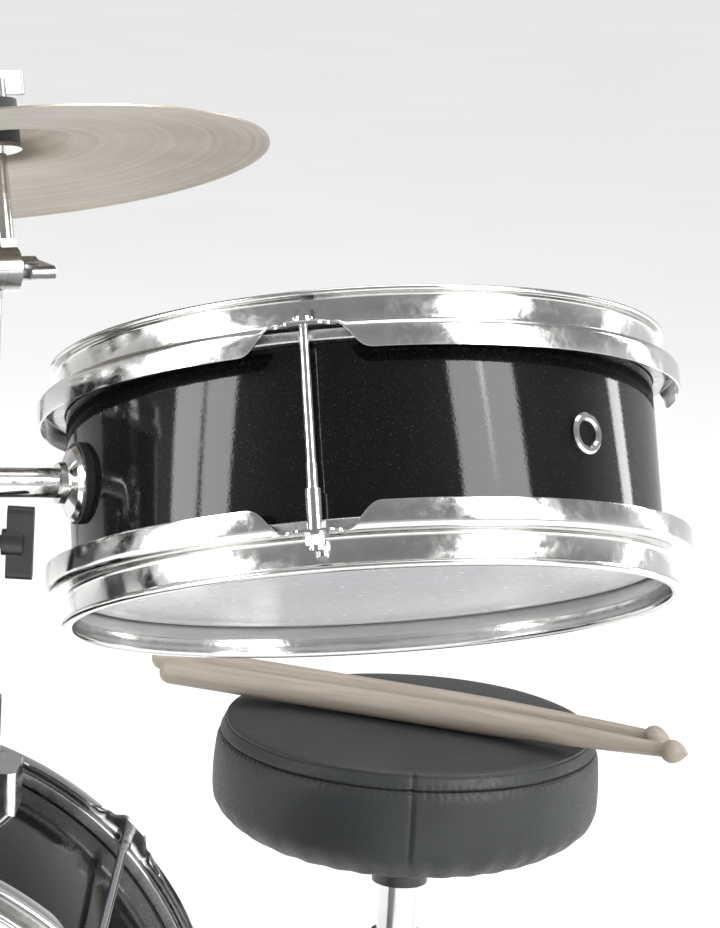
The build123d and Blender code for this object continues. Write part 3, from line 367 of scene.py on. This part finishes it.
def vinyl():
    """Soft black upholstery vinyl: a fine pebbled grain over slow ripples."""
    shader = Shader("black_vinyl", Specular_IOR_Level=0.45)
    pebble = shader.voronoi(620, "Distance", "SMOOTH_F1")
    fine = shader.noise(1500, 3, 0.6)
    dark = (0.013, 0.0142, 0.0150)
    light = (0.020, 0.0220, 0.0232)
    shader.set("Base Color", shader.ramp(shader.noise(18, 4), [(0.3, dark), (0.7, light)]))
    shader.set("Roughness", shader.span(pebble, 0.42, 0.58, 0.0, 0.6))
    ripple = shader.bump(shader.noise(30, 3, 0.5, distortion=0.6), 0.30, 0.0012)
    height = shader.math("ADD", shader.math("MULTIPLY", pebble, 0.8), shader.math("MULTIPLY", fine, 0.3))
    shader.bump(height, 0.28, 0.00035, normal=ripple)
    return shader.material


def plastic(name, tint, rough, grain=1200):
    """Moulded plastic or rubber with a spark-eroded grain and a slight rub on it."""
    shader = Shader(name)
    lighter = tuple(min(1.0, 1.7 * channel + 0.004) for channel in tint)
    shader.set("Base Color", shader.ramp(shader.noise(60, 5, 0.65), [(0.35, tint), (0.75, lighter)]))
    shader.set("Roughness", shader.span(shader.noise(200, 4), rough * 0.8, rough * 1.2, 0.3, 0.7))
    shader.bump(shader.noise(grain, 3, 0.6), 0.2, 0.0002)
    return shader.material


def powder_coat():
    """Satin black powder coat on castings, with its orange-peel surface."""
    shader = Shader("black_powder_coat", Coat_Weight=0.25, Coat_Roughness=0.3)
    dark = (0.010, 0.010, 0.011)
    light = (0.022, 0.022, 0.023)
    shader.set("Base Color", shader.ramp(shader.noise(120, 4), [(0.3, dark), (0.7, light)]))
    shader.set("Roughness", shader.span(shader.noise(240, 3), 0.34, 0.5, 0.3, 0.7))
    shader.bump(shader.noise(700, 2, 0.4), 0.25, 0.0003)
    return shader.material


def felt():
    """Pressed felt: short crossing fibres."""
    shader = Shader("pressed_felt", Roughness=0.95, Sheen_Weight=0.4, Sheen_Roughness=0.5)
    fibres = shader.noise(1500, 6, 0.8, distortion=1.2)
    dark = (0.012, 0.012, 0.013)
    light = (0.07, 0.07, 0.075)
    shader.set("Base Color", shader.ramp(fibres, [(0.3, dark), (0.75, light)]))
    shader.bump(fibres, 0.8, 0.0006)
    return shader.material


def maple(name, along, shift):
    """Pale sealed maple with long grain down the stick and faint pores."""
    shader = Shader(name, Coat_Weight=0.15, Coat_Roughness=0.35, Specular_IOR_Level=0.4)
    turn = along.to_track_quat("X", "Z").inverted().to_euler()
    stretched = shader.tree.nodes.new("ShaderNodeMapping")
    stretched.inputs["Scale"].default_value = (0.05, 1, 1)
    stretched.inputs["Location"].default_value = (shift, 0, 0)
    shader.link(shader.spin(turn, shader.coords), stretched.inputs["Vector"])
    grain = shader.noise(420, 5, 0.65, vector=stretched.outputs["Vector"], distortion=0.3)
    pores = shader.noise(2600, 2, 0.5, vector=stretched.outputs["Vector"])
    shader.set("Base Color", shader.ramp(grain, [
        (0.25, (0.205, 0.170, 0.133)), (0.5, (0.265, 0.228, 0.187)), (0.75, (0.305, 0.268, 0.225)),
    ]))
    shader.set("Roughness", shader.span(pores, 0.42, 0.58, 0.3, 0.7))
    shader.bump(shader.math("ADD", grain, shader.math("MULTIPLY", pores, 0.5)), 0.12, 0.0003)
    return shader.material


# ---------------------------------------------------------------- pressed hoops
BEAD = 0.0012              # half the rolled lip's thickness
LIP_BEND = 0.0017          # where the collar turns out into the lip
UNDER_LIP_BEND = 0.0013
FLANGE_BEND = 0.0022       # where the collar turns out into the flange
SKIRT_BEND = 0.0034
BEND_STEPS = 7
SHEET_EDGE = 0.0002        # the rounding of the sheet's cut edges
EDGE_REACH = 0.0006
COLLAR_EDGE = 0.0004
GROOVE_DEPTH = 0.0003      # of the pressed line round the collar
EAR_FADE = 0.0055          # over which an ear's end blends into the skirt
EAR_FADE_START = 0.0035    # beyond the ear's half width


def hoop_section(radius, skirt, ear):
    """The sheet's outline at one angle: skirt is 1 where it is full depth and 0 at an ear."""
    inside = radius + COLLAR_INSIDE
    outside = inside + SHEET
    lip = radius + LIP_REACH
    flat = radius + SKIRT_REACH + ear
    outline = [
        (inside + COLLAR_EDGE, -SHEET),
        (inside, -SHEET + COLLAR_EDGE),
        (inside, COLLAR_HEIGHT * 0.40),
        (inside - GROOVE_DEPTH, COLLAR_HEIGHT * 0.46),
        (inside, COLLAR_HEIGHT * 0.52),
        (inside, COLLAR_HEIGHT * 0.78),
    ]
    outline += arc((inside + LIP_BEND, COLLAR_HEIGHT - LIP_BEND), LIP_BEND, 180, 90, 5)
    outline += arc((lip - BEAD, COLLAR_HEIGHT - BEAD), BEAD, 90, -90, 8)
    under_lip = COLLAR_HEIGHT - 2 * BEAD - UNDER_LIP_BEND
    outline += arc((outside + UNDER_LIP_BEND, under_lip), UNDER_LIP_BEND, 90, 180, 4)
    outline += arc((outside + FLANGE_BEND, FLANGE_BEND), FLANGE_BEND, 180, 270, 6)
    # the bend fades out first, so that an ear is a flat tab
    turned = SKIRT_BEND * smooth(skirt * 3)
    outline += arc((flat - turned, -turned), turned, 90, 0, BEND_STEPS)
    low = min(-turned, -SKIRT_DEPTH * skirt)
    side = min(low + EDGE_REACH, -turned)
    outline.append((flat, side))
    outline.append((flat - SHEET_EDGE, low - SHEET_EDGE))
    outline.append((flat - SHEET + SHEET_EDGE, low - SHEET_EDGE))
    outline.append((flat - SHEET, side))
    inner = max(turned - SHEET, 0.0)
    outline += arc((flat - SHEET - inner, -SHEET - inner), inner, 0, 90, BEND_STEPS)
    return outline


def hoop(drum, place, end, node, steps):
    """A pressed steel hoop whose skirt runs out in an S-curve at each flat ear; end is 1 or -1."""
    radius = drum["radius"]
    lugs = []
    for lug in range(drum["lugs"]):
        lugs.append(math.radians(end * (drum["first"] + lug * 360 / drum["lugs"])))
    rod_radius = radius + ROD_REACH
    verts = []
    for step in range(steps):
        angle = 2 * math.pi * step / steps
        nearest = min(abs((angle - lug + math.pi) % (2 * math.pi) - math.pi) for lug in lugs)
        away = nearest * rod_radius
        skirt = smooth(smooth((away - WINDOW_NARROW) / (WINDOW_WIDE - WINDOW_NARROW)))
        ear = (EAR_REACH - SKIRT_REACH) * smooth((EAR_HALF_WIDTH + EAR_FADE_START - away) / EAR_FADE)
        for r, h in hoop_section(radius, skirt, ear):
            verts.append(place.point(angle, r, h))
    count = len(hoop_section(radius, 1, 0))
    piece = finish_mesh(f"{node}_pressed", verts, turned_faces(steps, count), 50)
    piece.data.materials.append(CHROME)
    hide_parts(node)
    return piece


# ---------------------------------------------------------------- shells and heads
def shell(drum, place, body):
    """The wrapped ply shell with rolled bearing edges."""
    radius = drum["radius"]
    half = drum["length"] / 2
    edge = 0.0016
    slope = 0.003
    inner = radius - WALL
    outline = [(inner, -half + slope), (inner + slope, -half)]
    outline += arc((radius - edge, -half + edge), edge, -90, 0, 5)
    outline += arc((radius - edge, half - edge), edge, 0, 90, 5)
    outline += [(inner + slope, half), (inner, half - slope)]
    node = f"{drum['name']}_shell"
    piece = lathe(f"{node}_wrapped", place, outline, 512, 30)
    piece.data.materials.append(WRAP)
    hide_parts(node)
    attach(piece, body)


def head_skin(drum, place, material, body, node, label):
    """A head: flat film with its collar step, gripped in a metal flesh hoop under the flange."""
    radius = drum["radius"]
    film = 0.0004
    hoop_depth = 0.005
    drop = SHEET + 0.0002
    outline = [(0.0, film)]
    outline += [(radius * share, film) for share in (0.2, 0.4, 0.6, 0.8, 0.92)]
    outline.append((radius - 0.0075, film))
    outline.append((radius - 0.0065, film + 0.00025))
    outline.append((radius - 0.0030, film + 0.0003))
    outline += arc((radius - 0.0009, film - 0.0009), 0.0013, 90, 0, 6)
    over_shell = radius + 0.00005
    outline += [(radius + 0.0004, -drop - 0.001), (over_shell, -drop - 0.001), (over_shell, -0.0002)]
    outline += [(radius - 0.0009, 0.0), (radius * 0.8, 0.0), (radius * 0.4, 0.0), (0.0, 0.0)]
    skin = lathe(f"{drum['name']}_{label}_film", place, outline, 360, 40, closed=False)
    skin.data.materials.append(material)
    inside = radius + 0.0005
    outside = radius + 0.0058
    corner = 0.0011
    ring = arc((outside - corner, -drop - corner), corner, 90, 0, 5)
    ring += arc((outside - corner, -drop - hoop_depth + corner), corner, 0, -90, 5)
    ring += [(inside, -drop - hoop_depth), (inside, -drop)]
    grip = lathe(f"{drum['name']}_{label}_flesh_hoop", place, ring, 360, 40)
    grip.data.materials.append(ALUMINIUM)
    for piece in (skin, grip):
        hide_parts(node)
        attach(piece, body)


def build_drum(drum, place, body, steps, ends):
    """Shell and both hoops of one drum."""
    half = drum["length"] / 2
    shell(drum, place, body)
    top = hoop(drum, place.shifted(half), 1, f"{drum['name']}_{ends[0]}_hoop", steps)
    bottom = hoop(drum, place.flipped(half), -1, f"{drum['name']}_{ends[1]}_hoop", steps)
    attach(top, body)
    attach(bottom, body)


# ---------------------------------------------------------------- cymbal
CYMBAL_HOLE = 0.006        # its radius
HOLE_EDGE = 0.0005
BELL_STEPS = 14
LATHE_RINGS = 60
RING_DEPTH = 0.00008
EDGE_THINNING = 0.35       # the sheet's loss of thickness from the middle to the edge


def bow(share):
    """Height of the cymbal's upper face from the bell's foot (0) to its edge (1)."""
    return BOW_HEIGHT * (1 - share) ** 0.9 * (1 + 0.35 * share) + 0.0005


def cymbal():
    """A turned cymbal: domed bell, bow, thin edge, and rings left by the lathe."""
    start = CYMBAL_HOLE + HOLE_EDGE
    upper = [(CYMBAL_HOLE, BELL_HEIGHT - 0.0002), (start, BELL_HEIGHT)]
    for step in range(1, BELL_STEPS + 1):
        share = step / BELL_STEPS
        radius = start + (BELL_RADIUS - start) * share
        fall = 0.5 - 0.5 * math.cos(math.pi * share ** 1.7)
        upper.append((radius, BELL_HEIGHT - (BELL_HEIGHT - BOW_HEIGHT - 0.0006) * fall))
    for step in range(1, LATHE_RINGS + 1):
        share = step / LATHE_RINGS
        radius = BELL_RADIUS + (CYMBAL_RADIUS - BELL_RADIUS) * share
        upper.append((radius, bow(share) + RING_DEPTH * math.sin(step * 2.4)))
    lower = []
    for radius, height in reversed(upper):
        lower.append((radius, height - BRASS * (1 - EDGE_THINNING * radius / CYMBAL_RADIUS)))
    piece = lathe("cymbal_turned", cymbal_place, upper + lower, 256, 60)
    piece.data.materials.append(cymbal_brass())
    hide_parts("cymbal")
    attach(piece, "cymbal")


# ---------------------------------------------------------------- sticks
BEAD_LENGTH = 0.014
GRIP_SHARE = 0.62          # of the stick's length, before it tapers
BUTT_INSET = 0.62          # of the radius, from the CAD box's corner to the middle of the butt
BUTT = (
    (0.0, 0.0), (0.0030, 0.0), (0.0048, 0.0008), (0.0062, 0.0024), (0.0069, 0.0046), (STICK_RADIUS, 0.0075),
)


def stick(node, body, shift):
    """A turned maple stick: rounded butt, straight grip, taper, neck and bead."""
    low, high = corners(node)
    height = (low.z + high.z) / 2
    # the run goes across the corners of the CAD stick's box, about a degree off the CAD stick's own
    run = Vector((high.x - low.x, low.y - high.y, 0)).normalized()
    inward = Vector((STICK_RADIUS * abs(run.y), -STICK_RADIUS * abs(run.x), 0))
    butt = Vector((low.x, high.y, height)) + inward * BUTT_INSET
    outline = list(BUTT)
    outline += [(STICK_RADIUS, STICK_LENGTH * share) for share in (0.2, 0.4, 0.6)]
    taper_steps = 12
    for step in range(1, taper_steps + 1):
        share = step / taper_steps
        along = GRIP_SHARE * STICK_LENGTH + ((1 - GRIP_SHARE) * STICK_LENGTH - BEAD_LENGTH) * share
        outline.append((STICK_NECK + (STICK_RADIUS - STICK_NECK) * (1 - share ** 1.35), along))
    bead_steps = 10
    for step in range(1, bead_steps):
        share = step / bead_steps
        swell = (STICK_BEAD - STICK_NECK * 0.6) * math.sin(math.pi * share ** 0.8)
        radius = STICK_NECK * (1 - share ** 3) + swell
        outline.append((radius, STICK_LENGTH - BEAD_LENGTH + BEAD_LENGTH * share))
    outline.append((0.0, STICK_LENGTH))
    piece = lathe(f"{node}_turned", Place(butt, (0, 0, 1), run), outline, 40, 60, closed=False)
    piece.data.materials.append(maple(f"maple_{body}", run, shift))
    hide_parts(node)
    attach(piece, body)


# ---------------------------------------------------------------- stool cushion
SEAM_RADIUS = 0.098
SEAM_DROP = 0.0046         # from the crown to the upper seam
BAND = 0.0074              # between the two seams
WELT = 0.0010              # the radius of each rounded edge beside a seam
STITCHES = 150
FOLDS = 37                 # round the tucked lower edge
CLOSING_SEAM = math.radians(-88.5)
CUSHION_STEPS = 900
CROWN_STEPS = 18
BULGE_STEPS = 22
TUCK_START = 0.55          # of the way down the bulging side
TUCK_DEPTH = 0.019
STILL_RADIUS = 0.02        # inside it the cover lies without ripples


def cushion_outline(low, high, widest):
    """The cushion's section: crowned panel, upper seam, band, lower seam, bulging side, tucked edge."""
    top = high - 0.0003
    upper = high - SEAM_DROP
    lower = upper - BAND
    outline = [(0.0, top)]
    panel = SEAM_RADIUS - 0.0016
    for step in range(1, CROWN_STEPS + 1):
        share = step / CROWN_STEPS
        outline.append((panel * share, top - (SEAM_DROP - 0.0013) * share ** 3.4))
    outline += arc((panel, upper - 0.0001), WELT, 80, 0, 3)
    outline.append((SEAM_RADIUS - 0.0009, upper - 0.0008))
    outline += arc((SEAM_RADIUS - 0.0009, upper - 0.0020), WELT, 70, 20, 3)
    outline.append((SEAM_RADIUS + 0.0010, upper - BAND * 0.5))
    outline += arc((SEAM_RADIUS + 0.0010, lower + 0.0013), WELT, 20, -50, 3)
    outline.append((SEAM_RADIUS + 0.0009, lower - 0.0001))
    outline += arc((SEAM_RADIUS + 0.0013, lower - 0.0014), WELT, 60, 10, 3)
    start = lower - 0.0016
    for step in range(1, BULGE_STEPS + 1):
        share = step / BULGE_STEPS
        swell = math.sin(math.pi * min(0.10 + share * 0.85, 1.0)) ** 0.7
        radius = SEAM_RADIUS + 0.0019 + (widest - SEAM_RADIUS - 0.0023) * swell
        if share > TUCK_START:
            radius -= TUCK_DEPTH * ((share - TUCK_START) / (1 - TUCK_START)) ** 2.1
        outline.append((radius, start - (start - low - 0.0004) * share ** 0.94))
    outline += [(SEAM_RADIUS - 0.030, low + 0.0002), (0.0, low + 0.0002)]
    return outline


def cushion():
    """A drum stool's round cushion in stitched vinyl: creases at both seams and down the closing seam."""
    low, high = corners("stool_cushion")
    centre = (low + high) / 2
    place = Place((centre.x, centre.y, 0), (1, 0, 0), (0, 0, 1))
    outline = cushion_outline(low.z, high.z, (high.x - low.x) / 2)
    lower_seam = high.z - SEAM_DROP - BAND
    verts = []
    for step in range(CUSHION_STEPS):
        angle = CLOSING_SEAM + 2 * math.pi * step / CUSHION_STEPS
        from_seam = min(step, CUSHION_STEPS - step) / CUSHION_STEPS * 2 * math.pi * SEAM_RADIUS
        side = 1 if step * 2 < CUSHION_STEPS else -1
        for r, h in outline:
            point = place.point(angle, r, h)
            if r > STILL_RADIUS:
                depth = (high.z - h) / (high.z - low.z)
                outside = smooth((r - 0.090) / 0.006)
                pucker = noise.noise(Vector((math.cos(angle) * 2.6, math.sin(angle) * 2.6, depth * 2.3)))
                tuck = smooth((depth - 0.60) / 0.4)
                fold = 0.0007 * tuck * math.sin(angle * FOLDS + 4 * pucker)
                near_thread = math.exp(-((h - lower_seam) / 0.0022) ** 2)
                gather = 0.00016 * math.sin(angle * STITCHES) * near_thread
                crease = -0.0012 * math.exp(-(from_seam / 0.0011) ** 2) * outside
                overlap = 0.0005 * side * math.exp(-from_seam / 0.004) * outside
                ripple = noise.noise(Vector((point.x * 26, point.y * 26, 4.0)))
                point += place.out(angle) * (0.0006 * pucker + fold + gather + crease + overlap)
                point.z += 0.0006 * ripple * (1 - tuck) * (1 - outside)
            verts.append(point)
    faces = turned_faces(CUSHION_STEPS, len(outline), closed=False)
    piece = finish_mesh("stool_cushion_cover", verts, faces, 80)
    piece.data.materials.append(VINYL)
    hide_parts("stool_cushion")
    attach(piece, "seat")
    stitching(place, SEAM_RADIUS + 0.0021, lower_seam - 0.0014)


def stitching(place, radius, height):
    """The row of thread under the lower seam: one short rounded stitch after another."""
    verts = []
    faces = []
    around = 8
    along = 6
    pitch = 2 * math.pi / STITCHES
    thick = 0.00035
    for number in range(STITCHES):
        middle_angle = CLOSING_SEAM + (number + 0.5) * pitch
        base = len(verts)
        for row in range(along + 1):
            share = row / along * 2 - 1
            width = thick * math.sqrt(max(1 - share ** 4, 0.0)) + 0.00002
            angle = middle_angle + share * pitch * 0.34
            for corner in range(around):
                turn = 2 * math.pi * corner / around
                out = radius + 0.00012 * (1 - share ** 2) + width * math.cos(turn)
                verts.append(place.point(angle, out, height + width * math.sin(turn)))
        for row in range(along):
            for corner in range(around):
                here = base + row * around
                nxt = (corner + 1) % around
                faces.append((here + corner, here + nxt, here + around + nxt, here + around + corner))
        faces.append(tuple(range(base + around - 1, base - 1, -1)))
        faces.append(tuple(range(base + along * around, base + (along + 1) * around)))
    piece = finish_mesh("stool_cushion_stitches", verts, faces, 80)
    piece.data.materials.append(THREAD)
    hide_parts("stool_cushion")
    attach(piece, "seat")


# ---------------------------------------------------------------- pedal spring
def pedal_spring():
    """A wound extension spring with a straight end above and below; it bows when the pedal is pressed."""
    low, high = corners("pedal_spring")
    centre = (low + high) / 2
    curve = bpy.data.curves.new("pedal_spring_wire", "CURVE")
    curve.dimensions = "3D"
    curve.bevel_depth = 0.0008
    curve.bevel_resolution = 3
    turns = 24
    per_turn = 14
    radius = 0.0042
    straight = 0.010
    end_steps = 6
    spline = curve.splines.new("NURBS")
    points = []
    start = low.z + straight
    stop = high.z - straight
    for step in range(end_steps):
        points.append((centre.x, centre.y, low.z + (start - low.z) * step / end_steps))
    for step in range(turns * per_turn + 1):
        share = step / (turns * per_turn)
        angle = 2 * math.pi * share * turns
        across = centre.x + radius * math.cos(angle)
        along = centre.y + radius * math.sin(angle)
        points.append((across, along, start + (stop - start) * share))
    for step in range(1, end_steps + 1):
        points.append((centre.x, centre.y, stop + (high.z - stop) * step / end_steps))
    spline.points.add(len(points) - 1)
    for spot, point in zip(spline.points, points):
        spot.co = (*point, 1)
    spline.order_u = 3
    spline.use_endpoint_u = True
    holder = bpy.data.objects.new("pedal_spring_path", curve)
    bpy.context.scene.collection.objects.link(holder)
    graph = bpy.context.evaluated_depsgraph_get()
    mesh = bpy.data.meshes.new_from_object(holder.evaluated_get(graph))
    bpy.data.objects.remove(holder)
    piece = bpy.data.objects.new("pedal_spring_wound", mesh)
    bpy.context.scene.collection.objects.link(piece)
    for polygon in mesh.polygons:
        polygon.use_smooth = True
    mesh.materials.clear()
    mesh.materials.append(ZINC)
    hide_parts("pedal_spring")
    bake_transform(piece)


# ---------------------------------------------------------------- build the pieces
CHROME = chrome("bright_chrome", (0.66, 0.66, 0.645), 0.13, 0.35)
WRAP = sparkle_wrap()
ZINC = brushed("zinc_plate", (0.62, 0.63, 0.65), 0.25)
ALUMINIUM = brushed("rolled_aluminium", (0.55, 0.55, 0.55), 0.30)
NICKEL = brushed("nickel_plate", (0.70, 0.70, 0.71), 0.16)
VINYL = vinyl()
WHITE_FILM = drum_film("white_film", (0.54, 0.54, 0.555), 0.22)
GREY_FILM = drum_film("grey_film", (0.40, 0.405, 0.42), 0.20)
RUBBER = plastic("black_rubber", (0.012, 0.012, 0.012), 0.62)
BLACK_PLASTIC = plastic("black_plastic", (0.010, 0.010, 0.010), 0.38)
POWDER = powder_coat()
FELT = felt()
THREAD = plastic("black_thread", (0.006, 0.006, 0.006), 0.7, 4000)

build_drum(SIDE, side_place, "side_drum", 720, ("top", "bottom"))
build_drum(TOM, tom_place, "tom", 480, ("top", "bottom"))
build_drum(BASS, bass_place, "kit", 720, ("front", "rear"))

HEADS = (
    (SIDE, side_place, "side_drum", WHITE_FILM, "white_film", "side_drum_top_head", "struck"),
    (SIDE, side_place, "side_drum", WHITE_FILM, "white_film", "side_drum_bottom_head", "under"),
    (TOM, tom_place, "tom", WHITE_FILM, "white_film", "tom_heads", "struck"),
    (TOM, tom_place, "tom", WHITE_FILM, "white_film", "tom_heads", "under"),
    (BASS, bass_place, "kit", GREY_FILM, "grey_film", "bass_heads", "front"),
    (BASS, bass_place, "kit", GREY_FILM, "grey_film", "bass_heads", "rear"),
)
for drum, place, body, material, slot, node, label in HEADS:
    half = drum["length"] / 2
    end_place = place.shifted(half) if label in ("struck", "front") else place.flipped(half)
    head_skin(drum, end_place, material, body, node, label)

rock = JOINTS["cymbal_rock"]
tilt = JOINTS["cymbal_tilt"]
cymbal_axis = (Vector(rock["pos_m"]) - Vector(tilt["pos_m"])).normalized()
bell_foot = Vector(rock["pos_m"]) - cymbal_axis * (BELL_HEIGHT - BRASS / 2)
cymbal_place = Place(bell_foot, tilt["axis"], cymbal_axis)
cymbal()
stick("stick_front", "front_stick", 0.0)
stick("stick_rear", "rear_stick", 3.7)
cushion()
pedal_spring()

# ---------------------------------------------------------------- finishes of the CAD pieces
CAD_FINISHES = {
    CHROME: [
        "stand_brackets", "spur_brackets", "spur_rod_left", "spur_rod_right", "post_tube", "side_drum_arm",
        "tom_arm", "side_drum_mount_plate", "side_drum_vent_grommet", "tom_mount_plate", "cymbal_rod",
        "cymbal_tilter", "beater_rod", "stool_leg_1", "stool_leg_2", "stool_leg_3", "stool_seat_post",
    ],
    NICKEL: ["side_drum_tension_rods", "side_drum_sleeve_nuts", "tom_tension_rods", "bass_tension_rods"],
    ZINC: ["pedal_base_plate", "cymbal_wing_nut", "tilter_wing_bolt", "pedal_link", "pedal_axle"],
    POWDER: [
        "arm_holder", "pedal_frame", "pedal_hoop_clamp", "pedal_heel_plate", "pedal_footboard",
        "stool_column", "stool_seat_plate",
    ],
    BLACK_PLASTIC: ["bracket_wing_bolts", "holder_wing_bolts", "stool_height_bolt"],
    RUBBER: ["spur_tip_left", "spur_tip_right", "side_drum_mount_gasket", "stool_feet"],
    FELT: ["cymbal_felts", "beater_head"],
}
for material, nodes in CAD_FINISHES.items():
    for node in nodes:
        mesh = frame["nodes"][node].data
        mesh.materials.clear()
        mesh.materials.append(material)

# ---------------------------------------------------------------- floor, light and camera
floor_mesh = bpy.data.meshes.new("studio_floor")
FLOOR_HALF = 60
floor_corners = [(x * FLOOR_HALF, y * FLOOR_HALF, 0) for x, y in ((-1, -1), (1, -1), (1, 1), (-1, 1))]
floor_mesh.from_pydata(floor_corners, [], [(0, 1, 2, 3)])
floor = bpy.data.objects.new("studio_floor", floor_mesh)
bpy.context.scene.collection.objects.link(floor)
floor_shader = Shader("studio_floor", Roughness=0.8)
floor_stops = [(0.2, (0.90, 0.90, 0.90)), (0.8, (0.93, 0.93, 0.93))]
floor_tone = floor_shader.ramp(floor_shader.noise(2.0, 2), floor_stops)
floor_shader.set("Base Color", floor_tone)
floor_mesh.materials.append(floor_shader.material)

AIM = side_place.origin
BOX_DISTANCE = 2.4
BOX_STRENGTH = 12.0


def softbox(name, azimuth, elevation, width, height):
    """A rectangular light aimed at the side drum; azimuth 0 is the audience, positive to the right."""
    a = math.radians(azimuth)
    e = math.radians(elevation)
    towards = Vector((math.sin(a) * math.cos(e), -math.cos(a) * math.cos(e), math.sin(e)))
    data = bpy.data.lights.new(name, "AREA")
    data.shape = "RECTANGLE"
    data.size = width
    data.size_y = height
    data.energy = BOX_STRENGTH * width * height * math.pi
    lamp = bpy.data.objects.new(name, data)
    lamp.location = AIM + towards * BOX_DISTANCE
    lamp.rotation_euler = towards.to_track_quat("Z", "Y").to_euler()
    lamp.visible_camera = False
    bpy.context.scene.collection.objects.link(lamp)


STRIPS = (
    # centre azimuth, half width and elevation in degrees, height in metres
    (-72.9, 5.6, 20, 1.9),
    (-60.1, 5.6, 20, 1.9),
    (46.0, 6.6, 28, 1.7),
    (60.2, 6.6, 28, 1.7),
    (119.0, 3.4, 10, 1.6),
)
for number, (azimuth, half_width, elevation, height) in enumerate(STRIPS):
    width = 2 * BOX_DISTANCE * math.tan(math.radians(half_width))
    softbox(f"strip_{number + 1}", azimuth, elevation, width, height)

sun_data = bpy.data.lights.new("sky", "SUN")
sun_data.energy = 1.55
sun_data.angle = math.radians(50)
sun = bpy.data.objects.new("sky", sun_data)
sun.rotation_euler = (math.radians(-12), math.radians(8), 0)
bpy.context.scene.collection.objects.link(sun)

world = bpy.data.worlds.new("studio")
bpy.context.scene.world = world
world.use_nodes = True
tree = world.node_tree
background = tree.nodes["Background"]
background.inputs["Strength"].default_value = 1.0
direction = tree.nodes.new("ShaderNodeTexCoord")
split = tree.nodes.new("ShaderNodeSeparateXYZ")
tree.links.new(direction.outputs["Generated"], split.inputs["Vector"])
rise = tree.nodes.new("ShaderNodeValToRGB")
# brightness by the sine of the elevation: a white sweep behind, darker studio above it
SKY = ((0.0, 0.85), (0.10, 0.74), (0.26, 0.38), (0.60, 0.32), (0.85, 0.45))
elements = rise.color_ramp.elements
while len(elements) < len(SKY):
    elements.new(0.5)
for element, (position, level) in zip(elements, SKY):
    element.position = position
    element.color = (level, level, level * 1.01, 1)
tree.links.new(split.outputs["Z"], rise.inputs["Fac"])
rays = tree.nodes.new("ShaderNodeLightPath")
mix = tree.nodes.new("ShaderNodeMix")
mix.data_type = "RGBA"
mix.inputs[7].default_value = (1.0, 1.0, 1.0, 1)
tree.links.new(rays.outputs["Is Camera Ray"], mix.inputs[0])
tree.links.new(rise.outputs["Color"], mix.inputs[6])
tree.links.new(mix.outputs[2], background.inputs["Color"])

CAMERA_FROM_DRUM = Vector((-0.0023, -1.4368, 0.3016))
PITCH = 11.5
ROLL = 3.2
camera_data = bpy.data.cameras.new("camera")
camera_data.lens = 131.9
camera_data.sensor_width = 36.0
camera_data.clip_start = 0.05
camera_data.clip_end = 50
camera = bpy.data.objects.new("camera", camera_data)
camera.location = AIM + CAMERA_FROM_DRUM
look = Matrix.Rotation(math.radians(90 - PITCH), 4, "X") @ Matrix.Rotation(math.radians(ROLL), 4, "Z")
camera.rotation_euler = look.to_euler()
bpy.context.scene.collection.objects.link(camera)
bpy.context.scene.camera = camera
bpy.context.scene.view_settings.view_transform = "Standard"
